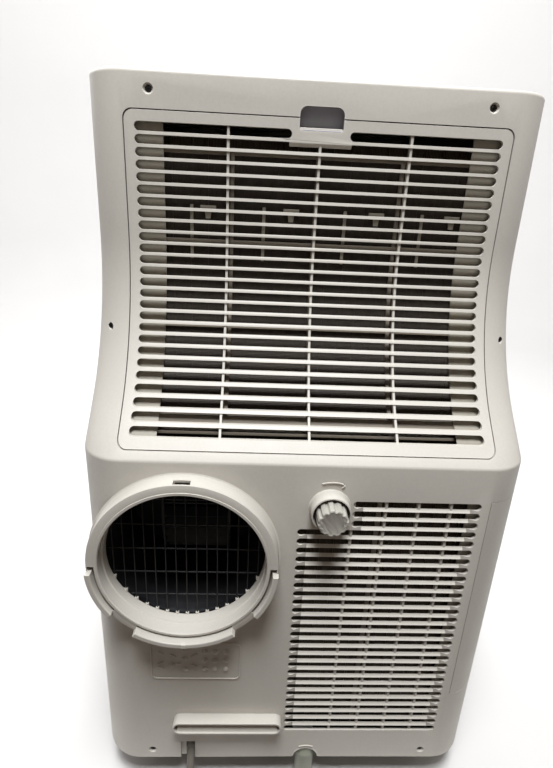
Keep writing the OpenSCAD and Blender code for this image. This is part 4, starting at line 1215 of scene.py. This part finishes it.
linings = {
    # light strips behind both ends of the upper slots: inner and outer edge, low and high edge
    "strip": (0.1365, 0.1660, 0.424, 0.688),
    "brackets": (0.098, 0.022, -0.057, -0.128),
    # a T bracket, upright from its foot: half width and height
    "bracket": ((0.0022, 0.6080), (0.0030, 0.6155), (0.0072, 0.6165), (0.0072, 0.6195)),
    "uprights": (0.113, 0.047, -0.028, -0.100),
    "uprightHalf": 0.0015,
    "uprightSpan": (0.572, 0.620),
    # upright strips behind the lower grille: left and right edge, depths behind the panel
    "low": ((-0.0725, -0.0680, 0.0150, 0.0125),
            (lowerGrille["right"] - 0.004, lowerGrille["right"] + 0.0095, 0.0090, 0.0070)),
}


def makeUpperLinings():
    # light side strips, small T brackets and thin uprights behind the upper slots
    n = linings
    bm = bmesh.new()
    inner, outer, low, high = n["strip"]
    for side in (-1, 1):
        x0, x1 = sorted((side * inner, side * outer))
        joinInto(bm, plate([[(x0, low), (x1, low), (x1, high), (x0, high)]], (0.0064, 0.0080),
                           rows=bendRows, wrap=wrapRear))
    for x in n["brackets"]:
        right = [(x + half, z) for half, z in n["bracket"]]
        left = [(x - half, z) for half, z in reversed(n["bracket"])]
        joinInto(bm, plate([right + left], (0.0078, 0.0092), wrap=wrapRear))
    low, high = n["uprightSpan"]
    for x in n["uprights"]:
        x0, x1 = x - n["uprightHalf"], x + n["uprightHalf"]
        joinInto(bm, plate([[(x0, low), (x1, low), (x1, high), (x0, high)]], (0.0086, 0.0096),
                           rows=bendRows, wrap=wrapRear))
    return finishPiece("filter_linings", bm, materials["liner"], bodyOf["filter_frame"], (),
                       0.0004)


def makeLowerLinings():
    bm = bmesh.new()
    g = lowerGrille
    low = g["first"] - g["pitch"] * (g["count"] - 0.6)
    high = g["first"] + g["pitch"] * 0.5
    for x0, x1, back, front in linings["low"]:
        addBox(bm, (x0, x1), (rearY - back, rearY - front), (low, high))
    return finishPiece("grille_linings", bm, materials["liner"], "root", (), 0.0004)


def makeCordCheek():
    # solid cheek beside the cord in its notch
    n = cordNotch
    bm = bmesh.new()
    addBox(bm, (n["x0"] + 0.0095, n["x1"] + 0.0010), (rearY - 0.0120, rearY - 0.0028),
           (casing["bottom"] + 0.0004, n["top"] + 0.001))
    return finishPiece("cord_cheek", bm, casingPlastic, "root", (), 0.0008, 3)


makeRearShell()
makeUpperLinings()
makeLowerLinings()
makeCordCheek()
makeGrilleRibs()
makeRecess()
makeFilterCover()
makeFingerLip()
makeSideCover()
makeFrontShell()
print("shells made")
makeCollar()
makeLips()
makeGuard()
makeKnob()
makeBezel()
makeMarks()
makeDrainPipe()
makeScrews()
print("rear fittings made")

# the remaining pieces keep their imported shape, with softened edges

softened = {
    # node: bevel width, segments
    "top_panel": (0.0014, 3), "control_panel": (0.0006, 3), "display_window": (0.0004, 2),
    "button_power": (0.0008, 3), "button_mode": (0.0008, 3),
    "button_fan": (0.0008, 3), "button_timer": (0.0008, 3),
    "side_handles": (0.0012, 3), "outlet_frame": (0.0010, 3),
    "louver_1": (0.0010, 3), "louver_2": (0.0010, 3), "louver_3": (0.0010, 3), "louver_4": (0.0010, 3),
    "base_pan": (0.0006, 2), "mid_deck": (0.0006, 2), "filter_frame": (0.0005, 2), "side_filter": (0.0003, 2),
    "exhaust_housing": (0.0005, 2), "blower_housing": (0.0006, 2), "control_box": (0.0006, 2),
    "circuit_board": (0.0002, 1), "run_capacitor": (0.0010, 3), "compressor": (0.0012, 3),
    "compressor_grommets": (0.0006, 2), "exhaust_motor": (0.0008, 3), "blower_motor": (0.0008, 3),
    "cord_gland": (0.0006, 2),
}
for corner in ("front_left", "front_right", "rear_left", "rear_right"):
    softened["caster_fork_" + corner] = (0.0008, 3)
    softened["caster_axle_" + corner] = (0.0004, 2)
    softened["caster_wheel_" + corner] = (0.0016, 4)
for name, (bevel, segments) in softened.items():
    bevelledCopy(name, materials[slotOf[name]], bodyOf[name], bevel, segments)
print("remaining pieces softened")
